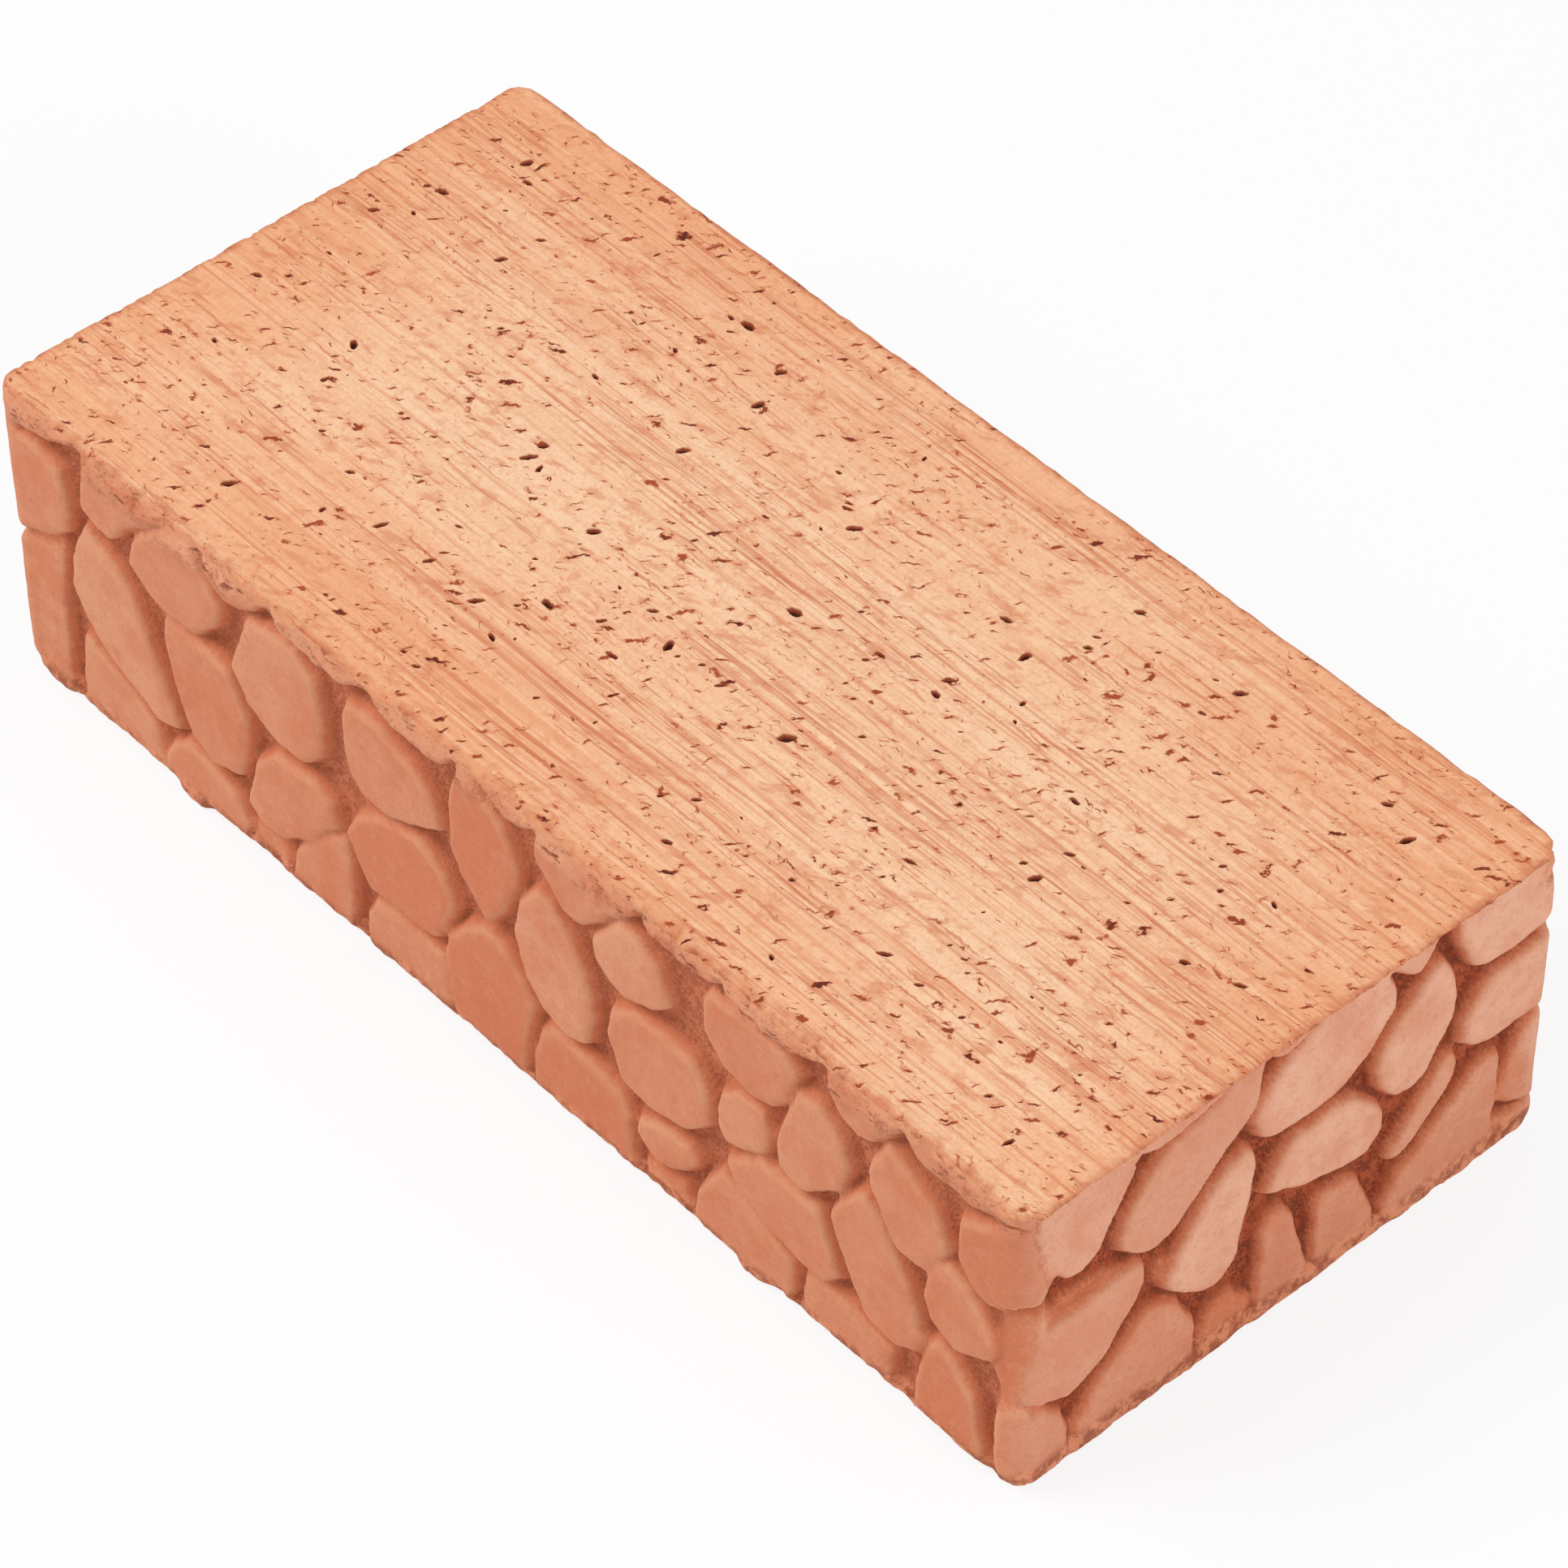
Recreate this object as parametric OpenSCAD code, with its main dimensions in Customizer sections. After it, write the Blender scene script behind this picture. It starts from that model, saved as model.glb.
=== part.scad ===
// Solid facing brick of fired clay, in millimetres.
// It lies on its lower bed with +Z up. The long relief side faces -Y, the two relief
// ends face +X and -X, and the long side at +Y is plain.

/* [Brick] */
// Length of the brick
brick_length = 250; // [200:1:300]
// Width across the bed
brick_width = 116; // [90:1:140]
// Height between the two beds
brick_height = 65; // [50:1:90]
// Radius of the four upright corners
corner_radius = 5; // [3:0.5:10]

/* [Arrises] */
// How far the upper bed's edge stands back from the long relief side
upper_setback = 1; // [0.4:0.1:3]
// How far the upper bed's edge stands back from the relief ends
upper_end_setback = 0.2; // [0.2:0.1:3]
// Height of the broken band under the upper bed's edge
upper_band = 4; // [1.5:0.5:8]
// Radius of the upper bed's corners, which the wire left sharper than the rest
upper_corner_radius = 2; // [1:0.5:3]
// How far the lower bed's edge stands back from the three relief sides
lower_setback = 2.6; // [0.6:0.1:4]
// Height of the rounding above the lower bed
lower_band = 4.5; // [1.5:0.5:8]
// How far both beds' edges stand back from the plain side
plain_setback = 0.5; // [0.2:0.1:2]

/* [Stone relief] */
// Depth of the joints between the stones
joint_depth = 3.5; // [1.5:0.25:5]
// How far a stone's flank spreads from its crown to the joints' floor
flank_width = 1.2; // [0.5:0.1:2.5]
// Width of the rounded shoulder round a stone's crown
shoulder_width = 1.4; // [0.5:0.1:2]
// How far that shoulder drops
shoulder_drop = 0.5; // [0.2:0.1:1]
// How far up the overturned pattern sits on the end at -X
left_end_rise = 3; // [0:0.5:4]

/* [Hidden] */

// The relief is rolled on from a pattern that repeats after these lengths.
side_pitch = 250;
end_pitch = 116;
height_pitch = 65;
// Depth by which a stone's foot sinks below the joints' floor, so that it is one with the body.
foot_bite = 1;
// Radius of the body's upright corners behind the stones, small enough that the feet on
// both sides of a corner end inside it.
core_radius = foot_bite * 2.5;
corner_facets = 32;
// Height of the thin slabs that the outside is stretched over
level_height = 0.25;
clay_tone = [0.84, 0.53, 0.41];

// Stones of the long side, seen from outside: [sunk by, outline of the crown]. Points are
// right from the left end and up from the lower bed.
side_stones = [
    // Cut through by the upper bed
    [0.2, [[-4, 57.5], [2, 58], [9, 58.5], [16, 61.5], [20, 62.5], [24, 65.5], [24, 69], [-4, 69]]],
    [0, [
        [22, 51], [25, 49], [29.5, 48.5], [32.5, 51], [38, 57.5], [45, 64.5], [49, 69],
        [24.5, 69], [22.5, 60]
    ]],
    [0, [[55.5, 62], [57, 59], [61, 57], [65, 57.5], [70, 61], [72, 65], [72.5, 69], [55, 69]]],
    [0.2, [[73, 63], [76, 60.5], [85, 59.5], [92, 60.5], [96.5, 64], [97.5, 69], [73, 69]]],
    [0.2, [[98, 62], [101, 60.5], [112, 59.5], [116, 60.5], [120.5, 69], [98, 69]]],
    [0.2, [[125.5, 62.5], [130, 60.5], [135, 60.5], [137.5, 62.5], [139.5, 69], [124.5, 69]]],
    [0, [
        [139.5, 65], [137.8, 60], [138.2, 56.5], [145, 50.5], [149, 50], [159, 59.5],
        [162.5, 63], [163, 69], [141, 69]
    ]],
    [0.3, [[164, 62], [169, 60.5], [177, 60.5], [181.5, 62], [184.5, 69], [163.5, 69]]],
    [0.2, [[182.5, 62], [187, 60.5], [199, 60.5], [204.5, 63], [205, 69], [185, 69]]],
    [0, [
        [205.5, 63], [206.2, 59.5], [209, 56], [213, 54.5], [216, 55.5], [219.5, 59.5],
        [222, 63.5], [222, 69], [205.5, 69]
    ]],
    [0.6, [[222, 66], [223.5, 61], [228, 59], [238, 59], [250, 63], [254, 69], [222, 69]]],
    // Upper stones
    [0, [
        [-4, 29.5], [4, 31], [11, 36.5], [17.5, 42], [18, 46], [17.8, 51], [16, 55], [11, 57],
        [-4, 56.5]
    ]],
    [0, [
        [22, 46], [18.2, 38], [17, 31], [19.5, 25.5], [24, 21], [31, 16.5], [39, 13],
        [44.5, 15.2], [41, 24], [38, 31], [36, 36.5], [31, 43]
    ]],
    [0, [
        [34, 47], [39, 43.5], [45, 42], [52, 43], [57.5, 48.5], [59.5, 53.5], [56.5, 57.5],
        [52, 61.5], [49, 66], [45, 64], [40.5, 59.8], [36.5, 54]
    ]],
    [0, [
        [64, 50], [61, 43], [65, 36.5], [73, 33.3], [80, 33.7], [84, 38], [84.5, 47],
        [83.5, 55.5], [79, 59], [72, 58.8], [66, 56.5]
    ]],
    [0, [
        [90, 47], [91.5, 41.5], [95, 37.8], [101, 37.2], [108, 40.5], [115, 44.5], [112.5, 50],
        [108, 54.5], [101, 57.5], [92, 58], [90.2, 54]
    ]],
    [0, [
        [116.7, 44], [119.2, 38.5], [126, 32.7], [130.5, 39], [133.5, 46], [133.5, 51],
        [130.5, 57.5], [122, 63.5], [118.7, 62.5], [117, 53]
    ]],
    [0, [
        [132, 36], [134, 44], [138, 50], [142, 49.5], [146, 44.5], [149.5, 38], [151.5, 30],
        [149.5, 22.5], [144.5, 20.5], [139, 22.5], [135, 26.5]
    ]],
    [0, [
        [151.2, 50], [151.7, 46], [154.2, 43], [159, 41.5], [166, 43.8], [170, 48], [167, 54],
        [162.5, 57.8], [158.5, 58]
    ]],
    [0, [
        [177.5, 57], [178, 50.5], [182, 45.5], [189, 43.5], [194.5, 45.2], [197.5, 50],
        [199.5, 56], [196.5, 59.3], [187, 59.8], [179.5, 59.8]
    ]],
    [0, [
        [193.7, 38], [195.2, 32], [200.5, 31], [205, 34.3], [209.5, 39], [211.5, 44.5],
        [209, 50], [204, 53.7], [199.5, 53]
    ]],
    [0, [
        [215.7, 46], [215.7, 52], [219.5, 58], [225, 55.2], [230, 52], [233.5, 45.2],
        [231, 40.5], [227.5, 36.8], [222, 35.8], [218.5, 40.5]
    ]],
    [0, [
        [235.2, 55], [235.2, 46], [239, 41.7], [243.5, 40], [248, 41.2], [251, 44.5], [256, 50],
        [256, 62], [249, 61.5], [242, 58.7]
    ]],
    // Middle stones
    [0, [
        [43, 41.5], [42.7, 34], [44.7, 25], [48.2, 17.2], [54, 14], [61, 16.5], [63.8, 23],
        [64, 32], [60, 40.5], [52, 41.5]
    ]],
    [0, [
        [62.5, 12.5], [66, 9.7], [72, 9.7], [79, 15], [87, 23.7], [86, 28.7], [81, 31],
        [71, 30.2], [65.8, 24]
    ]],
    [0, [
        [89, 25.5], [92, 31], [98, 35], [104, 37.3], [109, 38.3], [114.5, 34.5], [117.5, 28.5],
        [114.5, 21.5], [111.5, 17.5], [105, 16.2], [94.5, 16.2]
    ]],
    [0, [
        [154, 30], [155.5, 36.5], [160.5, 39.7], [168, 40.7], [175, 40.3], [178.7, 35.5],
        [178.5, 28], [174, 22.5], [165, 20], [157.5, 22]
    ]],
    [0.4, [
        [180.2, 30], [181.2, 38], [185, 41.7], [191.5, 41.7], [192.7, 36], [191.7, 31.5],
        [186, 28], [182, 27.2]
    ]],
    [0, [
        [182.2, 24], [185, 20], [192, 16.5], [199, 13.4], [205, 13.4], [208.7, 17.5],
        [206.5, 24.5], [203.7, 30], [191, 30]
    ]],
    [0, [
        [206.3, 31.5], [208.7, 36.5], [214.5, 43], [219, 38], [223, 32.3], [226, 25.5],
        [227.8, 20.5], [226, 15.2], [221.5, 13], [215.3, 14], [210.8, 22]
    ]],
    [0, [
        [227.3, 31], [228.3, 37], [233.5, 42.6], [238.2, 40.7], [241.5, 35.5], [243.8, 31],
        [242.2, 27.3], [235, 23.5], [229.3, 26.3]
    ]],
    [2, [[239.8, 31], [244, 34.2], [245, 30], [243.2, 26], [241, 25.5]]],
    [0.6, [
        [242.8, 26.5], [246, 31], [247.7, 36.5], [251, 40.5], [256, 42], [256, 30], [250, 25],
        [244, 19.7]
    ]],
    // Cut through by the lower bed
    [0.8, [[-4, 27], [4, 29], [12.5, 37.5], [15, 37.5], [14, 26], [12.5, -4], [-4, -4]]],
    [0.5, [
        [16, -4], [16.7, 10], [18.5, 18.7], [20.5, 19.7], [27, 16], [36, 12], [38.5, 9],
        [39, -4]
    ]],
    [0.3, [
        [39.5, -4], [39.7, 6], [42, 11], [45.5, 13.8], [51, 13], [59, 10.5], [62, 6], [61.5, -4]
    ]],
    [1.2, [[63, -4], [63, 7], [66, 8.5], [72, 8.5], [72.5, 3], [72, -4]]],
    [0.4, [[72.5, -4], [74, 9], [81, 16.5], [88, 23.3], [90, 18], [89.5, -4]]],
    [0.6, [[92.5, -4], [93, 9], [95.5, 14.7], [103, 15.2], [113, 15.2], [114.5, 8], [116, -4]]],
    [0.2, [
        [113.5, 16.5], [115, 21], [119.5, 26.5], [124.5, 30.7], [129.5, 29.5], [134, 25],
        [136.3, 21], [134, 9], [131.5, -4], [117, -4]
    ]],
    [0.4, [
        [134.3, -4], [135.3, 9], [137.2, 16], [140, 19.6], [149, 19.2], [157, 17.7],
        [159.7, 13], [160, -4]
    ]],
    [0.2, [
        [161, 12], [165, 8.7], [169, 9.5], [173, 11.8], [176, 16.3], [173, 19], [165, 17.7],
        [161.3, 16]
    ]],
    [1.2, [[161.5, -4], [162, 6], [167, 6.7], [172, 8.7], [173, 5], [173, -4]]],
    [0.2, [[174, -4], [175, 10], [181.5, 20], [186, 18.7], [193, 15], [197.7, 11.7], [197, -4]]],
    [0.8, [[198.7, -4], [199.7, 11], [202, 12.5], [209, 13.3], [220.7, 11], [220.5, -4]]],
    [0.3, [
        [225.5, -4], [226.2, 12], [228.2, 19], [230.7, 23], [235, 20.7], [239, 15.5], [241, 6],
        [241.5, -4]
    ]],
    [0.6, [[243, -4], [243.2, 12], [243.7, 18], [249, 23], [256, 28], [256, -4]]],
];

// Stones of the ends, written the same way.
end_stones = [
    // Cut through by the upper bed
    [0, [
        [-6, 38.5], [-1, 42], [2.5, 46.5], [3.5, 50.5], [3, 56], [1.2, 62.5], [0.5, 69],
        [-6, 69]
    ]],
    [0.9, [[0.5, 45.5], [4, 45], [8, 47], [6.5, 58], [4.5, 69], [0, 69]]],
    [0, [
        [3, 69], [5, 58], [6.5, 51], [9, 46.5], [12.5, 45.5], [16, 47], [18.5, 51], [21, 57.5],
        [24, 62], [25, 69]
    ]],
    [0, [[24.5, 69], [24.8, 61.5], [27.5, 60.8], [31, 61.2], [38, 62.3], [42, 65.5], [43.5, 69]]],
    [0, [
        [44, 69], [40, 63], [36, 60.5], [29, 58.8], [26.5, 57], [23.5, 52.5], [20.3, 46],
        [20.8, 43], [25.5, 39], [28, 38.2], [32, 39.5], [36, 43.5], [46, 52.5], [49.2, 55.5],
        [50, 62], [50.3, 69]
    ]],
    [0, [[51.3, 69], [51.7, 64], [54, 62.7], [57, 62.7], [63, 65], [64, 69]]],
    [0, [
        [66, 69], [62, 64], [56, 61.3], [52.5, 59], [50.5, 55.5], [48.5, 52.3], [49.3, 48],
        [52, 45], [56, 44.3], [68, 44.6], [74, 49.2], [78.5, 55.5], [78.7, 59], [77, 62.5],
        [75, 69]
    ]],
    [0.2, [[76.3, 69], [77.3, 64], [81, 60.6], [83.5, 59], [85.5, 60.3], [87.5, 63.3], [89, 69]]],
    [0, [
        [91.5, 69], [92.3, 61.5], [94, 56], [96, 51.7], [98.5, 50], [104, 49.5], [122, 51.3],
        [122, 69]
    ]],
    // Upper and middle stones
    [0, [
        [-6, 33.5], [2, 36.5], [12, 37], [25, 37.6], [26.8, 36], [26.6, 33], [25, 30], [20, 23],
        [15, 18.7], [11, 17.5], [8, 19], [3, 21.7], [-1, 24.7], [-6, 29]
    ]],
    [1.8, [[-6, 34], [0, 39], [9, 41], [18, 40.5], [24, 38], [12, 35], [0, 34]]],
    [0, [
        [30.7, 26.7], [33, 31], [35, 36], [37.5, 40], [43.5, 45.5], [47, 47], [49, 45.3],
        [50, 41], [49, 35], [46, 22], [43, 18.7], [40, 19.2], [35, 22]
    ]],
    [1.8, [[29, 28], [29.2, 32], [31.3, 33.5], [33.8, 32], [34.8, 28.5], [32.8, 26]]],
    [0, [
        [51.7, 31.8], [54.5, 36], [56, 39.7], [60, 41.5], [66, 41.7], [70.5, 40.7],
        [75.3, 36.3], [77.5, 32.5], [78.2, 29], [75, 24.7], [69, 25.3], [60, 28]
    ]],
    [0, [
        [75.2, 42.2], [76.2, 47], [79.2, 50.7], [86.5, 57.8], [89.3, 58], [91.7, 53.5],
        [93.2, 48.5], [92.7, 44], [86.5, 34], [83, 32.4], [79.7, 33.5], [76.3, 38.5]
    ]],
    [0.2, [
        [95, 34.2], [95.5, 39], [98.2, 44.3], [101.5, 46.2], [106, 46.5], [122, 46],
        [122, 30.2], [102, 30.3], [97.2, 31.8]
    ]],
    [0.4, [
        [79.7, 18.2], [80.2, 20.5], [88, 29], [91.3, 34], [93.7, 33.7], [94.7, 30.5],
        [94.2, 27.7], [86, 19.2], [82.5, 17.3]
    ]],
    [0.6, [
        [105.3, 13.3], [106.7, 19], [108.5, 25], [111.2, 28.2], [122, 28.2], [122, 7.7],
        [112, 8.4], [107.7, 10.5]
    ]],
    // Cut through by the lower bed
    [0.4, [
        [-6, 19.7], [0, 20.2], [4, 19.7], [8.5, 16.2], [10.2, 13.7], [11.7, 8.5], [12, -4],
        [-6, -4]
    ]],
    [0.5, [
        [13, -4], [13, 9], [15.7, 13.5], [24.5, 21.7], [28, 24.3], [31, 23.5], [35, 20],
        [37, 16.3], [38.5, 12], [38.7, -4]
    ]],
    [1.2, [[40.5, -4], [40, 8.5], [41.5, 12], [44.5, 13.7], [47, 13.7], [51.3, 8], [51.5, -4]]],
    [0.6, [
        [52, -4], [51.8, 22.5], [53.5, 25.5], [57, 26], [59, 21.5], [62, 10.5], [63.3, 7],
        [63.3, -4]
    ]],
    [0.6, [
        [64, 19.5], [65.2, 21.2], [68, 21.4], [72.3, 20.5], [74, 19], [76.3, 10.7], [77.8, 8.3],
        [78, -4], [64.7, -4]
    ]],
    [0.5, [
        [79.7, -4], [79.7, 8], [83, 12.7], [88, 15.7], [98, 24.6], [102, 26.4], [104.7, 25.7],
        [105.8, 23], [103.3, 12.7], [103.7, -4]
    ]],
    [0.8, [[104.7, -4], [104.5, 9], [107, 8.5], [112, 6.7], [122, 6.2], [122, -4]]],
];

function middle(points) = [
    for (axis = [0, 1])
        let (spots = [for (p = points) p[axis]])
        (min(spots) + max(spots)) / 2
];
// Moves an outline's points outwards from its middle by a width, or inwards if that is negative.
function spread(points, width) = [
    for (p = points)
        let (way = p - middle(points))
        p + way / norm(way) * width
];
// Turns an outline upside down within the pattern.
function overturned(points, width) = [
    for (p = points) [width - p[0], height_pitch + left_end_rise - p[1]]
];

// One stone, as a hull over its foot under the joints' floor, its edge, its shoulder and
// its level crown.
module stone(sunk, outline) {
    rings = [
        [spread(outline, flank_width), joint_depth + foot_bite],
        [outline, sunk + shoulder_drop],
        [spread(outline, -shoulder_width / 2), sunk + shoulder_drop * 0.3],
        [spread(outline, -shoulder_width), sunk]
    ];
    count = len(outline);
    hull()
        polyhedron(
            points = [for (ring = rings, p = ring[0]) [p[0], p[1], -ring[1]]],
            faces = [
                [for (i = [0 : count - 1]) i],
                for (r = [0 : len(rings) - 2], i = [0 : count - 1])
                    let (a = r * count, b = a + count, j = (i + 1) % count)
                    [a + i, b + i, b + j, a + j],
                [for (i = [count - 1 : -1 : 0]) (len(rings) - 1) * count + i]
            ]
        );
}

// A face's stones, repeated over its width and height.
module stones(list, pitch, width, overturn = false) {
    columns = ceil(width / pitch);
    rows = ceil(brick_height / height_pitch);
    for (column = [0 : columns - 1], row = [0 : rows - 1])
        translate([column * pitch, row * height_pitch, 0])
            for (entry = list)
                stone(entry[0], overturn ? overturned(entry[1], pitch) : entry[1]);
}

// One level of the outside: a thin slab with round upright corners, drawn in from the long
// relief side, the two ends and the plain side.
module level(z, side_setback, end_setback, rear_setback, radius = corner_radius) {
    for (x = [-1, 1], rear = [false, true])
        translate([
            x * (brick_length / 2 - end_setback - radius),
            rear
                ? brick_width / 2 - rear_setback - radius
                : radius + side_setback - brick_width / 2,
            z
        ])
            cylinder(r = radius, h = level_height, $fn = corner_facets);
}

// The outside that the stones may fill: both beds, the arrises and the upright corners.
module envelope() {
    hull() {
        level(0, lower_setback, lower_setback, plain_setback);
        level(lower_band * 0.3, lower_setback * 0.4, lower_setback * 0.4, 0);
        level(lower_band, 0, 0, 0);
        level(brick_height - upper_band, 0, 0, 0);
        level(
            brick_height - level_height,
            upper_setback,
            upper_end_setback,
            plain_setback,
            upper_corner_radius
        );
    }
}

// The body behind the stones. Its sides are the floor of the joints.
module core() {
    translate([0, 0, -1])
        linear_extrude(brick_height + 2)
            hull()
                for (x = [-1, 1], y = [-1, 1])
                    translate([
                        x * (brick_length / 2 - joint_depth - core_radius),
                        y > 0 ? brick_width / 2 : joint_depth + core_radius - brick_width / 2
                    ])
                        circle(r = core_radius, $fn = corner_facets);
}

module brick() {
    color(clay_tone)
        intersection() {
            envelope();
            union() {
                core();
                translate([-brick_length / 2, -brick_width / 2, 0])
                    rotate([90, 0, 0])
                        stones(side_stones, side_pitch, brick_length);
                translate([brick_length / 2, -brick_width / 2, 0])
                    rotate([90, 0, 90])
                        stones(end_stones, end_pitch, brick_width);
                translate([-brick_length / 2, brick_width / 2, 0])
                    rotate([90, 0, -90])
                        stones(end_stones, end_pitch, brick_width, true);
            }
        }
}

brick();
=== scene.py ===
# %% [markdown]
# # A solid clay facing brick
# The brick was pushed out of a die as a soft clay column, a roller pressed the stone relief
# into three of its sides, and a wire cut it off above and below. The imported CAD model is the
# frame: it already holds the size and every stone. This script gives that form the skin of
# fired clay, which means worn stones, ragged edges, drag marks, pores and colour.

import math
import random

import bmesh
import bpy
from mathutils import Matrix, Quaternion, Vector, noise
from mathutils.bvhtree import BVHTree


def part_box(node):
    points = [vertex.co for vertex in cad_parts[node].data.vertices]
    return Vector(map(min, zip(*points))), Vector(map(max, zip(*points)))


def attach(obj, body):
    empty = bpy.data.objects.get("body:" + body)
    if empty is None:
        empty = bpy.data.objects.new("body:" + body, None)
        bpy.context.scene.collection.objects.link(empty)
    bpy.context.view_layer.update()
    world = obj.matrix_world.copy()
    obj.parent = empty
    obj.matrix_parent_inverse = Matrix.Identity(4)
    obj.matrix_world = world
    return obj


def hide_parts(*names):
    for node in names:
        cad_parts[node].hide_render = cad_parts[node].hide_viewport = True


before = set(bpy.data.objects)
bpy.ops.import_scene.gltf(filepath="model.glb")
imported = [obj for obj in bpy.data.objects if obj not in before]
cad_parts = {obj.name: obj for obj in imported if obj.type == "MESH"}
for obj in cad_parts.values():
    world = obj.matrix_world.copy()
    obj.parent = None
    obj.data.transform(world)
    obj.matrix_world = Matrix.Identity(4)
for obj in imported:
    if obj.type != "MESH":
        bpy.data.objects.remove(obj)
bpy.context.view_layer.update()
LOW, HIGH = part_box("brick")
SIZE = HIGH - LOW
MIDDLE = (LOW + HIGH) / 2
MM = 0.001
print("brick in mm:", [round(side / MM, 2) for side in SIZE])

# %% [markdown]
# ## Camera
# The view looks down on the corner between the long relief side and one end. A long lens
# far away keeps the edges nearly parallel. `to_track_quat` turns the camera towards a point,
# and a small turn about its own axis copies the slight tilt of the picture.

# %% Place the camera
CAMERA_PLACE = Vector((0.5644, -0.4934, 0.7929))
CAMERA_AIM = Vector((0.0096, -0.0020, 0.0325))
CAMERA_TILT = math.radians(-0.53)
LENS_LENGTH = 150
SENSOR_WIDTH = 36

camera_data = bpy.data.cameras.new("camera")
camera_data.lens = LENS_LENGTH
camera_data.sensor_width = SENSOR_WIDTH
camera = bpy.data.objects.new("camera", camera_data)
bpy.context.scene.collection.objects.link(camera)
camera.rotation_mode = "QUATERNION"
camera.location = CAMERA_PLACE
camera.rotation_quaternion = (CAMERA_AIM - CAMERA_PLACE).to_track_quat("-Z", "Y") @ Quaternion(
    (0, 0, 1), CAMERA_TILT
)
bpy.context.scene.camera = camera
print("camera to brick in mm:", round((CAMERA_AIM - CAMERA_PLACE).length / MM))

# %% [markdown]
# ## Helpers for materials
# A material is a tree of nodes whose sockets are wired together. Made by hand in code, each
# node takes three or four lines, so a few short helpers add a node and wire it in one go.
# Sizes of patterns are given in millimetres, because that is how one measures clay.

# %% Helpers for shader nodes
def linear(red, green, blue):
    """A colour picked from a screen, 0 to 255, as the linear values that shaders use."""

    def channel(value):
        value /= 255
        return value / 12.92 if value <= 0.04045 else ((value + 0.055) / 1.055) ** 2.4

    return (channel(red), channel(green), channel(blue), 1.0)


def feed(tree, socket, value):
    """Links another node's output to the socket, or sets a plain number or colour on it."""
    if isinstance(value, bpy.types.NodeSocket):
        tree.links.new(value, socket)
    else:
        socket.default_value = value


def node(tree, kind, inputs=None, **settings):
    """Adds a node, applies its settings and feeds its inputs, by name or by number."""
    made = tree.nodes.new(kind)
    for name, value in settings.items():
        setattr(made, name, value)
    for key, value in (inputs or {}).items():
        feed(tree, made.inputs[key], value)
    return made


def maths(tree, operation, first, second):
    """One step of arithmetic on values."""
    return node(tree, "ShaderNodeMath", {0: first, 1: second}, operation=operation).outputs[0]


def times(tree, first, second):
    """The product of two values."""
    return maths(tree, "MULTIPLY", first, second)


def weighted(tree, *parts):
    """A sum of values, each given as a pair of value and weight."""
    total = 0.0
    for value, weight in parts:
        total = maths(tree, "ADD", times(tree, value, weight), total)
    return total


def mix(tree, share, first, second):
    """Blends two colours by a share. A Mix node takes its colours at inputs 6 and 7."""
    return node(
        tree,
        "ShaderNodeMix",
        {0: share, 6: first, 7: second},
        data_type="RGBA",
        clamp_factor=True,
    ).outputs[2]


def tint(tree, colour, share, red, green, blue):
    """Blends a colour by a share towards one that is given as on a screen."""
    return mix(tree, share, colour, linear(red, green, blue))


def stretch(tree, value, low, high, to_low=0.0, to_high=1.0):
    """Spreads the values between low and high smoothly over a new range."""
    return node(
        tree,
        "ShaderNodeMapRange",
        {"Value": value, "From Min": low, "From Max": high, "To Min": to_low, "To Max": to_high},
        interpolation_type="SMOOTHSTEP",
    ).outputs[0]


def attribute(tree, name):
    """A value that the mesh keeps at each of its points."""
    return node(tree, "ShaderNodeAttribute", attribute_name=name).outputs["Fac"]


def sized(tree, place, size, turn=0.0):
    """Coordinates for a pattern whose spots measure size in mm, turned in plan by degrees."""
    return node(
        tree,
        "ShaderNodeMapping",
        {
            "Vector": place,
            "Rotation": (0, 0, math.radians(turn)),
            "Scale": [span * MM for span in size],
        },
        vector_type="TEXTURE",
    ).outputs[0]


def cloud(tree, place, size, detail=2.0, rough=0.5, turn=0.0):
    """Cloudy noise from 0 to 1 with spots of about the given size in mm."""
    return node(
        tree,
        "ShaderNodeTexNoise",
        {
            "Vector": sized(tree, place, size, turn),
            "Scale": 0.5,
            "Detail": detail,
            "Roughness": rough,
        },
    ).outputs["Fac"]


print("helpers ready")

# %% [markdown]
# ## Floor and light
# A pale floor catches a soft shadow. Its shader mixes in light of its own, which only the
# camera, mirrors and glass see, so the background turns white and the matt clay beside it
# hardly changes. One wide lamp stands above and to the left, a weaker one in front of the
# end, and the world fills the joints. Wide lamps give the soft shade of an overcast sky.

# %% Floor
FLOOR_SPAN = 6.0
FLOOR_GAP = 0.02 * MM
FLOOR_GLOW = 0.85
PAPER_COLOUR = (0.96, 0.96, 0.96, 1)
WHITE = (1, 1, 1, 1)


def seen_directly(tree):
    """1 where the camera looks, also by way of a mirror or through glass, and 0 elsewhere."""
    path = node(tree, "ShaderNodeLightPath").outputs
    seen = maths(tree, "MAXIMUM", path["Is Camera Ray"], path["Is Glossy Ray"])
    return maths(tree, "MAXIMUM", seen, path["Is Transmission Ray"])


mesh = bpy.data.meshes.new("floor")
net = bmesh.new()
bmesh.ops.create_grid(net, x_segments=1, y_segments=1, size=FLOOR_SPAN / 2)
net.to_mesh(mesh)
net.free()
floor = bpy.data.objects.new("floor", mesh)
bpy.context.scene.collection.objects.link(floor)
floor.location.z = LOW.z - FLOOR_GAP

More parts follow.
